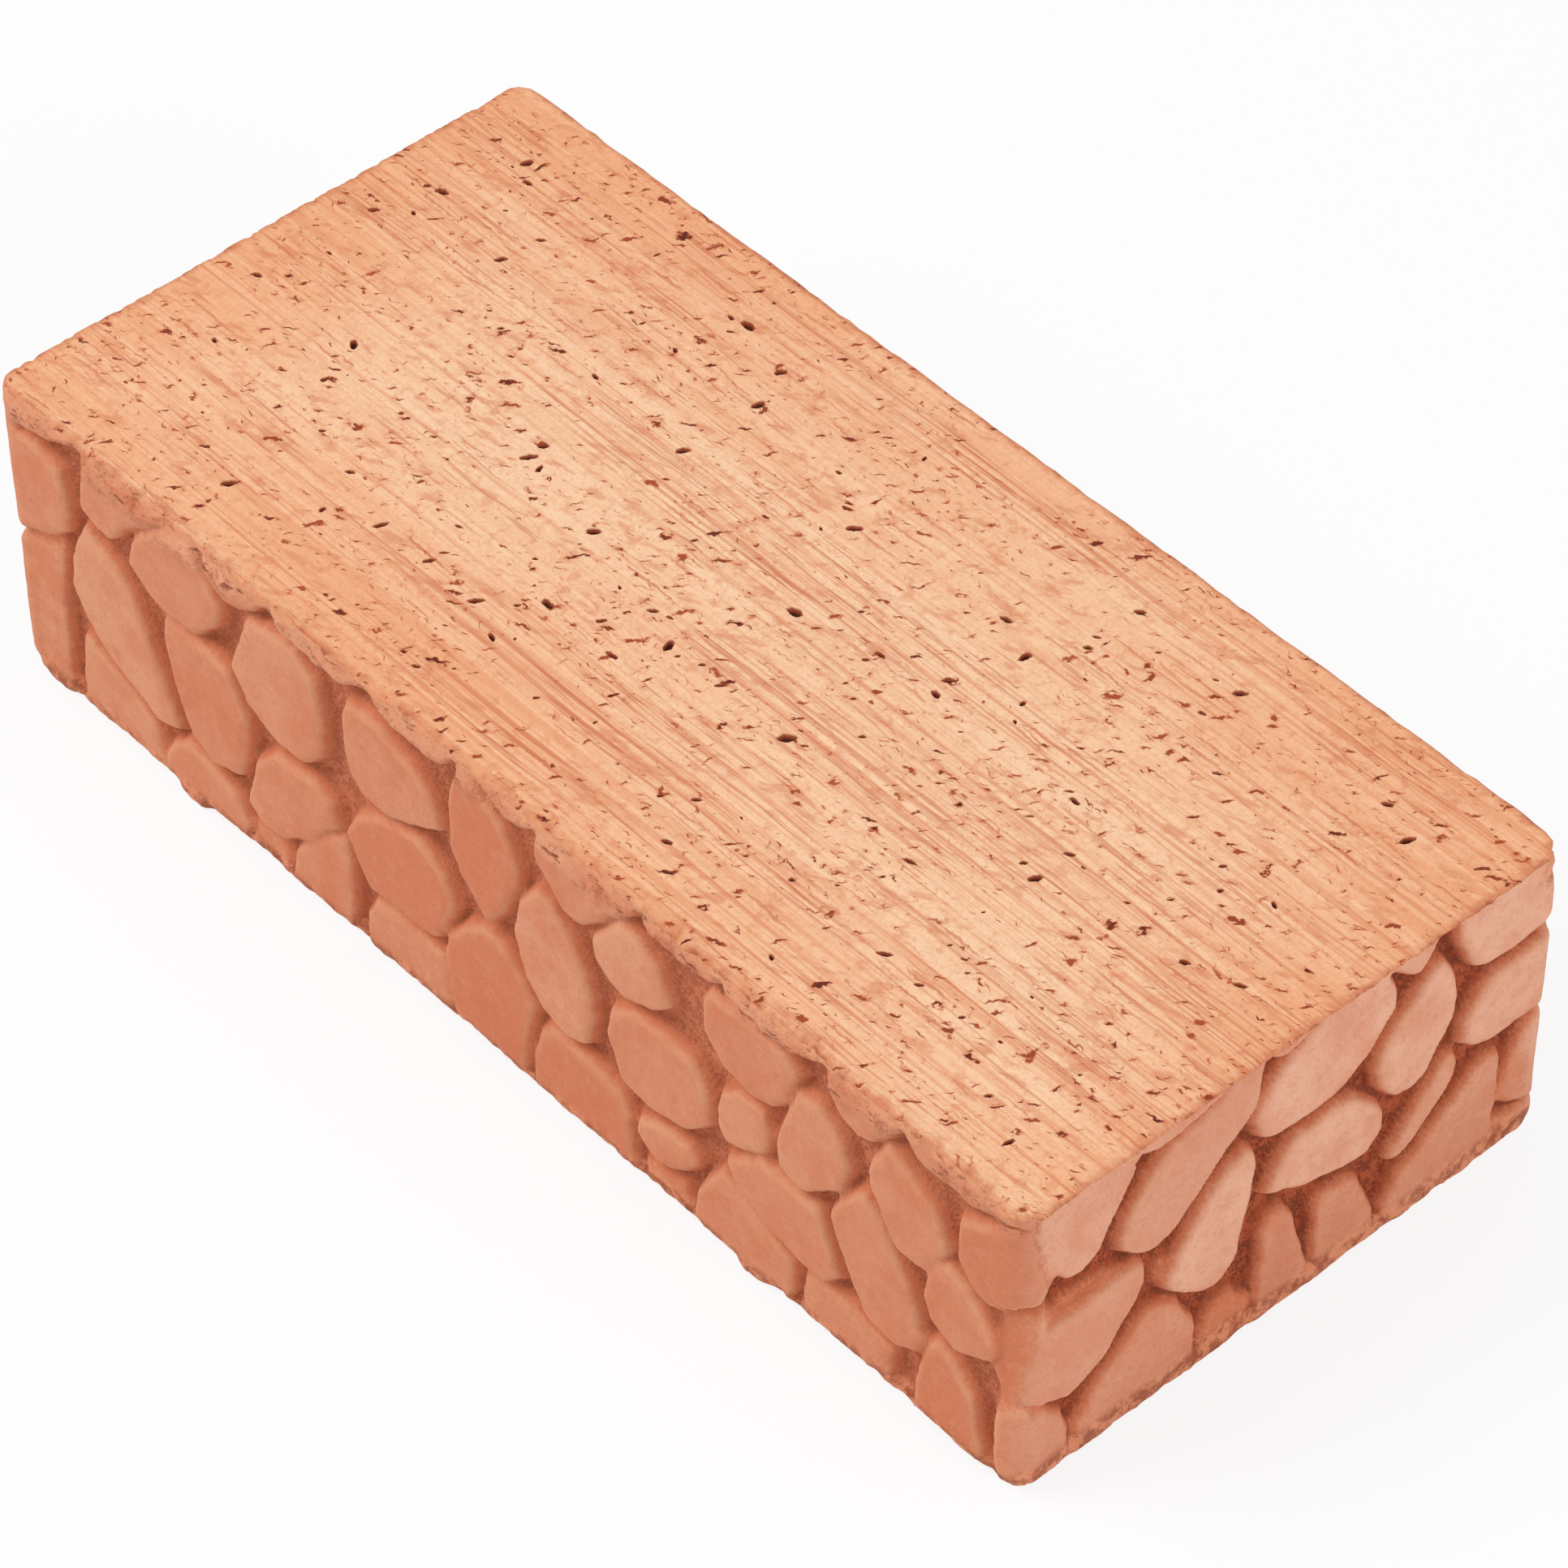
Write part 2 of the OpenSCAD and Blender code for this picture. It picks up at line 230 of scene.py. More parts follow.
paper = bpy.data.materials.new("pale_paper")
paper.use_nodes = True
tree = paper.node_tree
tree.nodes.clear()
matte = node(tree, "ShaderNodeBsdfDiffuse", {"Color": PAPER_COLOUR}).outputs[0]
glow = node(tree, "ShaderNodeEmission", {"Color": WHITE, "Strength": 1.0}).outputs[0]
share = times(tree, seen_directly(tree), FLOOR_GLOW)
blend = node(tree, "ShaderNodeMixShader", {0: share, 1: matte, 2: glow})
node(tree, "ShaderNodeOutputMaterial", {"Surface": blend.outputs[0]})
mesh.materials.append(paper)
print("floor:", FLOOR_SPAN, "m square")

# %% World and lamps
WORLD_LIGHT = 0.5
world = bpy.data.worlds.new("studio")
bpy.context.scene.world = world
world.use_nodes = True
tree = world.node_tree
tree.nodes.clear()
extra = times(tree, seen_directly(tree), 1.0 - WORLD_LIGHT)
strength = maths(tree, "ADD", WORLD_LIGHT, extra)
sky = node(tree, "ShaderNodeBackground", {"Color": WHITE, "Strength": strength})
node(tree, "ShaderNodeOutputWorld", {"Surface": sky.outputs[0]})
bpy.context.scene.view_settings.view_transform = "Standard"


def lamp(name, place, aim, span, power):
    """A square area lamp that looks at a point."""
    data = bpy.data.lights.new(name, "AREA")
    data.shape = "SQUARE"
    data.size = span
    data.energy = power
    made = bpy.data.objects.new(name, data)
    bpy.context.scene.collection.objects.link(made)
    made.location = place
    made.rotation_mode = "QUATERNION"
    made.rotation_quaternion = (Vector(aim) - Vector(place)).to_track_quat("-Z", "Y")


lamp("key", (-0.7, -0.9, 1.5), MIDDLE, 0.9, 16)
lamp("end_light", (1.6, 0.1, 0.9), MIDDLE, 0.8, 9)
print("lamps:", [light.name for light in bpy.data.lights])

# %% [markdown]
# ## The walls
# The relief needs a fine, even net of faces so that noise and rounding can work on it, and
# the CAD solid has long thin triangles instead. So a plain box is cut into a dense net, and
# each of its points is then laid onto the CAD solid by a ray. The box starts without its
# beds: they are closed later, from the ragged outline that the walls give them. The plain
# back needs fewer columns than the three relief sides. Values that the colour will need
# later, such as the depth under the outside, are kept in layers of the mesh from the start.

# %% Cut a box into a dense net
RELIEF_STEP = 0.68 * MM
PLAIN_STEP = 2.5 * MM
EDGE_ROW = 0.3 * MM
LAYERS = (
    "recess", "rim", "near_edge", "tone", "end_share", "plain", "front_edge", "inland", "pit"
)

net = bmesh.new()
for name in LAYERS:
    net.verts.layers.float.new(name)
kept = {name: net.verts.layers.float[name] for name in LAYERS}
bmesh.ops.create_cube(net, size=1.0)
bmesh.ops.scale(net, vec=SIZE, verts=net.verts)
bmesh.ops.translate(net, vec=MIDDLE, verts=net.verts)
net.normal_update()
beds = [face for face in net.faces if abs(face.normal.z) > 0.5]
bmesh.ops.delete(net, geom=beds, context="FACES_ONLY")


def run_along(edge, axis):
    """Whether an edge runs along the axis 0, 1 or 2."""
    span = edge.verts[1].co - edge.verts[0].co
    return abs(span[axis]) > 0.9 * span.length


def cut_edges(edges, step):
    """Cuts edges into steps of about the given length and returns how many there are."""
    steps = max(1, round(edges[0].calc_length() / step))
    bmesh.ops.subdivide_edges(net, edges=edges, cuts=steps - 1, use_grid_fill=True)
    return steps


# The edges that are still long after the front is cut are the back's.
rows = cut_edges([edge for edge in net.edges if run_along(edge, 2)], RELIEF_STEP)
cut_edges([edge for edge in net.edges if run_along(edge, 1)], RELIEF_STEP)
cut_edges(
    [edge for edge in net.edges if run_along(edge, 0) and edge.verts[0].co.y < MIDDLE.y],
    RELIEF_STEP,
)
cut_edges(
    [edge for edge in net.edges if run_along(edge, 0) and edge.calc_length() > 0.5 * SIZE.x],
    PLAIN_STEP,
)

# The first and last rows become narrow strips along the beds, and the others share the rest.
for point in net.verts:
    row = round((point.co.z - LOW.z) / SIZE.z * rows)
    if 0 < row < rows:
        share = (row - 1) / (rows - 2)
        point.co.z = LOW.z + EDGE_ROW + share * (SIZE.z - 2 * EDGE_ROW)
print("wall points:", len(net.verts), "faces:", len(net.faces), "rows:", rows)

# %% [markdown]
# ## Laying the net on the stones
# Each point looks inwards along a level ray until it meets the CAD solid. On the flat sides
# the ray is square to the side. Round an upright corner it swings about a point inside the
# brick, which spreads the net evenly round the corner. Five rays per point are averaged, so
# that the steep sides of the stones don't turn into stairs. Noise moves the rays a little
# aside, so the straight lines of the CAD stones come out as soft, hand-cut outlines.

# %% Rays onto the CAD solid
CORNER_RADIUS = 5 * MM
TURN_INSET = 9 * MM
SAMPLE_SHIFT = 0.2 * MM
EDGE_GUARD = 0.06 * MM
# Points that are closer than this count as one.
TOUCHING = 0.001 * MM
# How the rays are moved aside: the size of the waves and how far they move a ray, in mm.
BROAD_SIZE, BROAD_MOVE = 7, 0.6
FINE_SIZE, FINE_MOVE = 1.9, 0.3

cad = bmesh.new()
cad.from_mesh(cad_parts["brick"].data)
bmesh.ops.remove_doubles(cad, verts=cad.verts, dist=TOUCHING)
solid = BVHTree.FromBMesh(cad)
cad.free()


def clamp01(value):
    """The value, but no less than 0 and no more than 1."""
    return min(max(value, 0.0), 1.0)


def ease(value, low, high):
    """0 below low, 1 above high, and a soft step between them."""
    share = clamp01((value - low) / (high - low))
    return share * share * (3 - 2 * share)


def turning_point(place):
    """The point that a wall point looks at, and the level direction from there outwards."""
    inner = Vector(
        (
            min(max(place.x, LOW.x + TURN_INSET), HIGH.x - TURN_INSET),
            min(max(place.y, LOW.y + TURN_INSET), HIGH.y - TURN_INSET),
            place.z,
        )
    )
    return inner, (place - inner).normalized()


def outer_reach(direction):
    """How far the unworn outside lies from the turning point, in a level direction."""
    along, across = abs(direction.x), abs(direction.y)
    flat = TURN_INSET / max(along, across)
    if min(along, across) * flat <= TURN_INSET - CORNER_RADIUS:
        return flat
    middle = TURN_INSET - CORNER_RADIUS
    lean = middle * (along + across)
    return lean + math.sqrt(lean**2 - 2 * middle**2 + CORNER_RADIUS**2)


def drift(place):
    """How far a ray is moved aside and up: a broad wander plus a finer fray."""
    spot = place / MM
    aside = BROAD_MOVE * noise.noise(spot / BROAD_SIZE + Vector((11, 0, 0)))
    aside += FINE_MOVE * noise.noise(spot / FINE_SIZE + Vector((0, 5, 0)))
    up = BROAD_MOVE * noise.noise(spot / BROAD_SIZE + Vector((0, 0, 23)))
    up += FINE_MOVE * noise.noise(spot / FINE_SIZE + Vector((0, 9, 4)))
    return aside * MM, up * MM


def stone_reach(inner, direction):
    """How far the CAD solid reaches from the turning point, averaged over five rays."""
    start = inner + direction * TURN_INSET * 2
    side = Vector((-direction.y, direction.x, 0))
    aside, up = drift(start)
    total = 0.0
    for across, above in ((0, 0), (1, 1), (1, -1), (-1, 1), (-1, -1)):
        origin = start + side * (aside + across * SAMPLE_SHIFT)
        height = origin.z + up + above * SAMPLE_SHIFT
        origin.z = min(max(height, LOW.z + EDGE_GUARD), HIGH.z - EDGE_GUARD)
        distance = solid.ray_cast(origin, -direction)[3]
        total += TURN_INSET * 2 - distance
    return total / 5


print("rays per point: 5, spread over", round(2 * SAMPLE_SHIFT / MM, 2), "mm")

# %% [markdown]
# ## The near corner and the fine cracks
# At the upright corner between the long side and the end, the stones of both sides run into
# each other, and a ray that swings round the corner would blur them. So the joints there are
# drawn on the corner, unrolled flat to both sides. Some cracks on the walls are finer
# than the CAD joints. They are drawn in the same way, as courses on the flat wall, because a
# course of a few points can follow a crack that noise would put anywhere.

# %% Joints round the near corner
# Each joint has a half width, a depth and a course, in mm. A course gives the way round the
# corner, below 0 on the long side and above 0 on the end, and the height.
CORNER_JOINTS = (
    (1.7, 2.4, ((-10, 35), (-6, 38.5), (-3, 41.5), (0, 43.5), (4, 43), (10, 45.5))),
    (1.0, 1.3, ((-10, 18), (-6.4, 19), (-3, 20.5), (0, 21.5), (4, 19), (12, 18.5))),
    (0.8, 0.95, ((1.5, 67), (2.6, 60), (4.5, 52), (7.5, 43))),
    (0.9, 1.6, ((-6.4, 19), (-6.8, 26))),
)
# Between these heights, in mm, the corner stone's edge slants and the long side falls back.
SLANT_FROM, SLANT_TO = 20, 43
# Moves a spot so far that its noise has nothing to do with the noise at the spot itself.
ELSEWHERE = Vector((9, 9, 9))


def course_distance(spot, course):
    """How far a spot lies from a course of straight pieces."""
    nearest = math.inf
    for start, end in zip(course, course[1:]):
        start, end = Vector(start), Vector(end)
        step = end - start
        share = clamp01((spot - start).dot(step) / step.length_squared)
        nearest = min(nearest, (start + step * share - spot).length)
    return nearest


def wander(place, size):
    """How far noise with waves of a size in mm moves a spot along and up, from -1 to 1 each."""
    spot = place / MM / size
    return Vector((noise.noise(spot), noise.noise(spot + ELSEWHERE)))


def corner_depth(way_round, place):
    """The depth near the corner, in mm, from the drawn joints."""
    height = place.z / MM
    spot = Vector((way_round, height)) + wander(place, 3)
    depth = 0.12
    if SLANT_FROM < height < SLANT_TO:
        arris = 0.5 + 0.2 * (height - SLANT_FROM)
        depth += 0.7 * (1 - ease(way_round, arris - 0.8, arris + 0.2))
        depth += 1.3 * (1 - ease(way_round, -6.5, arris))
    for half, deep, course in CORNER_JOINTS:
        depth = max(depth, deep * (1 - ease(course_distance(spot, course), 0.2 * half, half)))
    return depth


print("joints drawn round the corner:", len(CORNER_JOINTS))

# %% Fine cracks
# How far the drawn corner reaches round to both sides, in mm.
CORNER_ZONE = 8.0
# Each crack has a half width, a depth and a course of places along the wall and heights, in mm.
LONG_CRACKS = (
    (1.7, 1.7, ((-127, 31), (-117, 34.5), (-107, 39))),
    (0.8, 1.7, ((-91, 53), (-84, 59), (-78, 64))),
    (0.7, 1.7, ((31, 57), (35, 59.5), (39, 63.5))),
    (0.7, 1.5, ((-10, 59), (-7, 62), (-4.5, 65))),
)
END_CRACKS = (
    (0.8, 1.7, ((-34, 61.8), (-28, 61.0), (-22, 61.8), (-18, 63.0), (-14, 65))),
    (0.7, 1.5, ((-8, 62.6), (-4, 61.8), (0, 62.6), (5, 65))),
)
# All cracks of the end lie above this height, in mm.
END_CRACKS_FROM = 58


def crack_depth(spot, place, cracks):
    """The depth of the deepest crack at a spot of a wall, in mm."""
    spot = spot / MM + wander(place, 2) * 0.7
    depths = (
        deep * (1 - ease(course_distance(spot, course), 0.2 * half, half))
        for half, deep, course in cracks
    )
    return max(depths)


def wall_depth(place):
    """The depth of a wall point under the unworn outside, in mm."""
    inner, direction = turning_point(place)
    depth = (outer_reach(direction) - stone_reach(inner, direction)) / MM
    if direction.y < -0.5:
        depth = max(depth, crack_depth(Vector((place.x, place.z)), place, LONG_CRACKS))
    if direction.x > 0.5 and place.z > END_CRACKS_FROM * MM:
        depth = max(depth, crack_depth(Vector((place.y, place.z)), place, END_CRACKS))
    side_way, end_way = (place.x - HIGH.x) / MM, (place.y - LOW.y) / MM
    if side_way < -CORNER_ZONE or end_way > CORNER_ZONE:
        return depth
    way_round = side_way + end_way
    drawn = corner_depth(way_round, place)
    share = ease(abs(way_round), 0.5 * CORNER_ZONE, CORNER_ZONE)
    share = max(share, 1 - ease(place.z / MM, 2, 6))
    return drawn + (depth - drawn) * share


print("cracks:", len(LONG_CRACKS), "on the long side,", len(END_CRACKS), "on the end")

# %% [markdown]
# ## Clay that the wire smeared
# Next to both beds the wire smears clay into the joints, so they get shallower towards the
# edges, and the outline of a bed stays nearly whole. Over the foot of the front a few lumps
# hang out of the joints. Both could be separate bits of clay, but here they only change how
# deep a wall point lies, so the wall stays one closed skin.

# %% Smear the joints and lay the net on the stones
DEEPEST = 3.5
# Each lump over the foot has a place along the brick, a half width and a push, in mm.
FOOT_LUMPS = ((-116, 7, 0.9), (-78, 5, 1.6), (64, 5, 1.6))


def smeared_depth(place, depth, front):
    """The depth after the wire has smeared clay into the joints near the beds, in mm."""
    height = place.z / MM
    wobble = 0.8 * noise.noise(Vector((place.x, place.y, 0)) / MM / 6)
    top_gap = HIGH.z / MM - height
    reach = 2.5 + 2.5 * front + 2 * wobble
    top_limit = 0.4 + 0.5 * front + DEEPEST * ease(top_gap, 0.3 + 1.2 * front, reach)
    bare = 3.5 - 2.3 * front + wobble
    foot_limit = max(0.8, 2.5 - 0.9 * height) + DEEPEST * ease(height, bare, bare + 4)
    return min(depth, top_limit, foot_limit)


def foot_lump(place):
    """The extra clay in a few joints at the foot of the front, in mm."""
    spot = place / MM
    if place.y > LOW.y + 5 * MM or spot.z > 5:
        return 0.0
    push = [size * (1 - ease(abs(spot.x - at), 0.2 * half, half)) for at, half, size in FOOT_LUMPS]
    return max(push) * (1 - ease(spot.z, 1.5, 4.5))


stone_depth = []
for point in net.verts:
    inner, direction = turning_point(point.co)
    end_share = ease(abs(direction.x), 0.5, 0.9)
    plain = ease(direction.y, 0.55, 0.95)
    depth = wall_depth(point.co)
    stone_depth.append(depth)
    depth = smeared_depth(point.co, depth, (1 - end_share) * (1 - plain))
    depth = max(0.0, depth - foot_lump(point.co))
    point[kept["recess"]] = clamp01(depth / DEEPEST)
    point[kept["end_share"]] = end_share
    point[kept["plain"]] = plain
    point.co = inner + direction * (outer_reach(direction) - depth * MM)
print("deepest joint in mm:", round(max(stone_depth), 2))

# %% [markdown]
# ## Which stone is which
# Fired stones differ a little in colour. In the net a stone's face is an island of points
# that lie near the outside, with joints all round it. Each island is flooded from point to
# point and gets its own tone at random, apart from a few stones that stand out, and the
# tones then creep down into the joints. The depth is also averaged over the neighbours:
# where a point lies higher than its surroundings, it is the rim of a stone, which the colour
# makes paler, and where it lies lower, it is the corner of a joint, which gets a painted shade.

# %% Flood the stones
# Points that lie deeper than this, in mm, belong to the joints.
STONE_LEVEL = 0.7
TONE_SEED = 11
RANDOM_TONES = (0.4, 0.7)

net.verts.index_update()
points = list(net.verts)
depth = [point[kept["recess"]] for point in points]
beside = [[edge.other_vert(point).index for edge in point.link_edges] for point in points]
stone_of = [None] * len(points)
stone_tone = []
random.seed(TONE_SEED)
for start in range(len(points)):
    if stone_of[start] is not None or stone_depth[start] > STONE_LEVEL:
        continue
    edge_of_flood = [start]
    stone_of[start] = len(stone_tone)
    while edge_of_flood:
        here = edge_of_flood.pop()
        for other in beside[here]:
            if stone_of[other] is None and stone_depth[other] <= STONE_LEVEL:
                stone_of[other] = len(stone_tone)
                edge_of_flood.append(other)
    stone_tone.append(random.uniform(*RANDOM_TONES))
print("stones and shards:", len(stone_tone))

# %% Give every stone its tone
# Stones that look plainly paler or more orange than the rest, each by a spot on it: place
# along the wall and height in mm.
PALE_TONE, ORANGE_TONE = 0.86, 0.14
PALE_ON_SIDE = ((17, 35), (35, 50), (-97, 32))
ORANGE_ON_SIDE = ((0, 48), (-22, 26), (0, 18), (20, 13), (120, 50), (108, 12))
PALE_ON_END = ((25, 44), (7, 54), (50, 38), (10, 33), (-16, 30))
ORANGE_ON_END = ((-15, 12), (-3, 15))
TONE_STEPS = 8


def set_tone(place, value):
    """Gives the stone at a place of the walls its tone."""
    nearest = min(range(len(points)), key=lambda here: (points[here].co - place).length_squared)
    if stone_of[nearest] is not None:
        stone_tone[stone_of[nearest]] = value


for spots, value in ((PALE_ON_SIDE, PALE_TONE), (ORANGE_ON_SIDE, ORANGE_TONE)):
    for along, height in spots:
        set_tone(Vector((along * MM, LOW.y, height * MM)), value)
for spots, value in ((PALE_ON_END, PALE_TONE), (ORANGE_ON_END, ORANGE_TONE)):
    for along, height in spots:
        set_tone(Vector((HIGH.x, along * MM, height * MM)), value)
tone = [None if stone is None else stone_tone[stone] for stone in stone_of]
for _ in range(TONE_STEPS):
    spread = {}
    for here, value in enumerate(tone):
        if value is None:
            known = [tone[other] for other in beside[here] if tone[other] is not None]
            if known:
                spread[here] = sum(known) / len(known)
    for here, value in spread.items():
        tone[here] = value
print("points deep in the joints, without a stone's tone:", tone.count(None))

# %% Find the rims of the stones
RIM_STEPS = 3
EDGE_STEPS = 16
MIDDLE_TONE = 0.5
# The lower stones of an end are more orange, by this share at the foot, and the share fades
# between two heights in mm.
FOOT_ORANGE = 0.5
FOOT_FADE = (8, 30)


def averaged(values, steps):
    """Values that are blurred over the net, step by step."""
    for _ in range(steps):
        values = [
            0.3 * values[here] + 0.7 * sum(values[other] for other in near) / len(near)
            for here, near in enumerate(beside)
        ]
    return values


close_by = averaged(depth, RIM_STEPS)
softened = averaged(depth, 1)
wide = averaged(close_by, EDGE_STEPS - RIM_STEPS)
for here, point in enumerate(points):
    orange = FOOT_ORANGE * point[kept["end_share"]] * (1 - ease(point.co.z / MM, *FOOT_FADE))
    own_tone = MIDDLE_TONE if tone[here] is None else tone[here]
    point[kept["tone"]] = own_tone * (1 - orange)
    point[kept["rim"]] = close_by[here] - depth[here]
    point[kept["near_edge"]] = wide[here]
    point[kept["recess"]] = softened[here]
print("highest rim:", round(max(point[kept["rim"]] for point in points), 3))

# %% [markdown]
# ## Worn clay
# Pressed clay has no sharp form: the roller, the wire and the kiln leave soft shoulders and a
# coarse grain. Two passes of smoothing round the stones, then noise pushes each point along
# its normal. Joints and the edges under the wire cut are rougher than the stones' faces, and
# the clay under the front's upper edge has crumbled into soft lumps.

# %% Soften the walls
SMOOTH_PASSES = 2
SMOOTH_SHARE = 0.35

rim_heights = {point: point.co.z for point in net.verts if point.is_boundary}
for _ in range(SMOOTH_PASSES):
    bmesh.ops.smooth_vert(
        net,
        verts=net.verts,
        factor=SMOOTH_SHARE,
        use_axis_x=True,
        use_axis_y=True,
        use_axis_z=False,
    )
net.normal_update()
print("smoothed", SMOOTH_PASSES, "times")

# %% Roughen the walls
# Heights between which the band under the upper bed and the one over the foot fade, in mm.
UNDER_TOP = (58.0, 62.0)
OVER_FOOT = (2.0, 5.5)
# Sizes of the noise of each kind of wear, in mm.
GRAIN_SIZE = 2.2
SWELL_SIZE = 11.0
LUMP_WIDTH, LUMP_HEIGHT = 6, 3
CHIP_SIZE = 3.4
CORNER_CHIP_SIZE = 2.6

for point in net.verts:
    place = point.co / MM
    recess = point[kept["recess"]]
    plain = point[kept["plain"]]
    front = (1 - point[kept["end_share"]]) * (1 - plain)
    under_top = ease(place.z, *UNDER_TOP)
    over_foot = 1 - ease(place.z, *OVER_FOOT)
    far_corner = 1 - ease((place - HIGH / MM).length, 3, 10)
    point[kept["front_edge"]] = max(under_top * front, far_corner)
    ragged = (under_top * (0.3 + 0.7 * front) + over_foot * 0.45) * (1 - 0.5 * plain)
    roughness = 0.05 + 0.22 * recess + 0.2 * ragged
    grain = noise.fractal(place / GRAIN_SIZE, 0.9, 2.0, 3) * roughness
    swell = noise.noise(place / SWELL_SIZE) * 0.2
    flat_spot = Vector((place.x / LUMP_WIDTH, place.y / LUMP_WIDTH, place.z / LUMP_HEIGHT))
    lumps = noise.noise(flat_spot) * 0.4 * under_top * front
    chips = max(0.0, noise.noise(place / CHIP_SIZE + Vector((7, 3, 1))) - 0.15) * 1.1 * ragged
    chips += max(0.0, noise.noise(place / CORNER_CHIP_SIZE) + 0.35) * 1.8 * far_corner
    shift = (grain + swell) * (1 - 0.7 * plain) + lumps - chips - 0.1
    point.co += point.normal * shift * MM
for point, height in rim_heights.items():
    point.co.z = height
print("roughened", len(net.verts), "points")

# %% [markdown]
# ## The wire-cut beds
# The wire leaves flat faces whose outline follows every joint. The edge crumbles a little as
# the wire passes, more so along the front, so the top rows of the walls sink by a changing
# amount, and the bottom rows rise by half of it. Then the outline is extruded inwards in a
# few rings: the first one rounds the edge off, and the last one lies on a plain rounded
# rectangle. There a single face closes the bed, and cuts by upright planes divide it into
# cells, so that pores can be sunk into it.

# %% Crumble the edges
WEAR_REACH = 2.5 * MM
# Each kind of crumb has a size in mm, a level of the noise up to which nothing comes off,
# and a strength.
CRUMBS = ((2.3, 0.02, 1.0), (1.1, 0.0, 0.8), (7.0, 0.05, 0.9))


def edge_wear(place):
    """How much of the edge has crumbled off above a wall point, in metres."""
    level = Vector((place.x / MM, place.y / MM, 0))
    front = ease(-level.y, 44, 55)
    torn_off = 0.0
    for size, spared, strength in CRUMBS:
        torn_off += strength * max(0.0, noise.noise(level / size) - spared)
    return (0.1 + torn_off * (0.65 + 0.7 * front)) * MM


sunk_by = {}
for point in net.verts:
    wear = edge_wear(point.co)
    sunk_by[point] = wear
    for level, sink in ((HIGH.z, wear), (LOW.z, -0.5 * wear)):
        gap = abs(level - point.co.z)
        if gap < WEAR_REACH:
            point.co.z -= sink * (1 - gap / WEAR_REACH)
print("edge wear in mm:", round(max(sunk_by.values()) / MM, 2), "at most")

# %% Extrude the outline inwards and close the beds
RING_INSET = 6.5 * MM
RING_STEPS = (0.0, 0.7 * MM, 2.2 * MM, RING_INSET)
# How far in from the edge of a bed the layer inland reaches 1.
INLAND_REACH = 45 * MM
# The walls keep the brick's first material, 0, and the beds take its second one.
BED = 1


def close_bed(level):
    """Closes the bed at a height from its open edge inwards."""
    open_edges = (edge for edge in net.edges if edge.is_boundary)
    edges = [edge for edge in open_edges if abs(edge.verts[0].co.z - level) < 3 * MM]
    tracks = {}
    for edge in edges:
        for point in edge.verts:
            inner, direction = turning_point(point.co)
            end = inner + direction * (outer_reach(direction) - RING_INSET)
            tracks[point] = (point.co.copy(), end, sunk_by[point])
    for step in RING_STEPS:
        made = bmesh.ops.extrude_edge_only(net, edges=edges)["geom"]
        new_tracks = {}
        for point in (item for item in made if isinstance(item, bmesh.types.BMVert)):
            near = (edge.other_vert(point) for edge in point.link_edges)
            start, end, wear = tracks[next(other for other in near if other in tracks)]
            share = clamp01((step + wear) / (end - start).length) if step < RING_INSET else 1.0
            place = start.lerp(end, share)
            point.co = (place.x, place.y, level)
            point[kept["inland"]] = (step + wear) / INLAND_REACH
            new_tracks[point] = (start, end, wear)
        for face in (item for item in made if isinstance(item, bmesh.types.BMFace)):
            face.material_index = BED
        tracks = new_tracks
        new_edges = (item for item in made if isinstance(item, bmesh.types.BMEdge))
        edges = [edge for edge in new_edges if edge.is_boundary]
    bed = bmesh.ops.edgeloop_fill(net, edges=edges)["faces"]
    bed[0].material_index = BED
    return bed


upper_bed = close_bed(HIGH.z)
lower_bed = close_bed(LOW.z)
bmesh.ops.recalc_face_normals(net, faces=net.faces)
print("open edges left:", sum(edge.is_boundary for edge in net.edges))

# %% Divide the beds into cells
CELL = 4.0 * MM


def cut_in_cells(faces, step):
    """Divides flat faces into square cells with upright planes."""
    for axis in (0, 1):
        count = round(SIZE[axis] / step)
        for index in range(1, count):
            spot = MIDDLE.copy()
            spot[axis] = LOW[axis] + SIZE[axis] * index / count
            normal = Vector((0, 0, 0))
            normal[axis] = 1
            parts = set(faces)
            for face in faces:
                parts.update(face.edges)
                parts.update(face.verts)
            made = bmesh.ops.bisect_plane(
                net, geom=list(parts), plane_co=spot, plane_no=normal, dist=TOUCHING
            )
            faces = [item for item in made["geom"] if isinstance(item, bmesh.types.BMFace)]
    for point in {corner for face in faces for corner in face.verts}:
        gap = min(SIZE.x / 2 - abs(point.co.x), SIZE.y / 2 - abs(point.co.y))
        point[kept["inland"]] = clamp01(gap / INLAND_REACH)
    return faces


upper_cells = cut_in_cells(upper_bed, CELL)
lower_cells = cut_in_cells(lower_bed, CELL * 2)
print("cells:", len(upper_cells), "above,", len(lower_cells), "below")

# %% [markdown]
# ## Torn pores
# Where the wire meets a grain, it tears the grain out and leaves a dark slanted pit. Pits of
# about a millimetre and more are real hollows, because a painted spot looks flat once light
# falls across it, and finer pores are left to the colour. A pit starts as a face set into a
# cell: its edges are cut into short ones, its points move onto a slanted, uneven oval, and
# its floor is set in once more and pushed down. Their places are drawn at random, since the
# wire tears grains out wherever they happen to lie. Most pits slant the way the clay had been
# folded before the cut, so the slant is drawn round one angle.

# %% Sink the pits
# Each kind of pit has a count and the least and greatest length and share of width.
LARGE_PITS = (60, 2.0, 3.6, 0.28, 0.55)
SMALL_PITS = (90, 0.9, 1.9, 0.35, 0.6)
PITS_BELOW = (40, 0.9, 2.6, 0.3, 0.6)
PIT_SLANT = 45
PIT_SPREAD = 32
PIT_SEED = 5
# Half the length and width of the field that pits are drawn in, how far a pit may be moved
# to a free cell, and the rim that a cell keeps round its pit, in mm.
FIELD_LENGTH, FIELD_WIDTH = 116, 49
FARTHEST = 6
CELL_RIM = 0.3
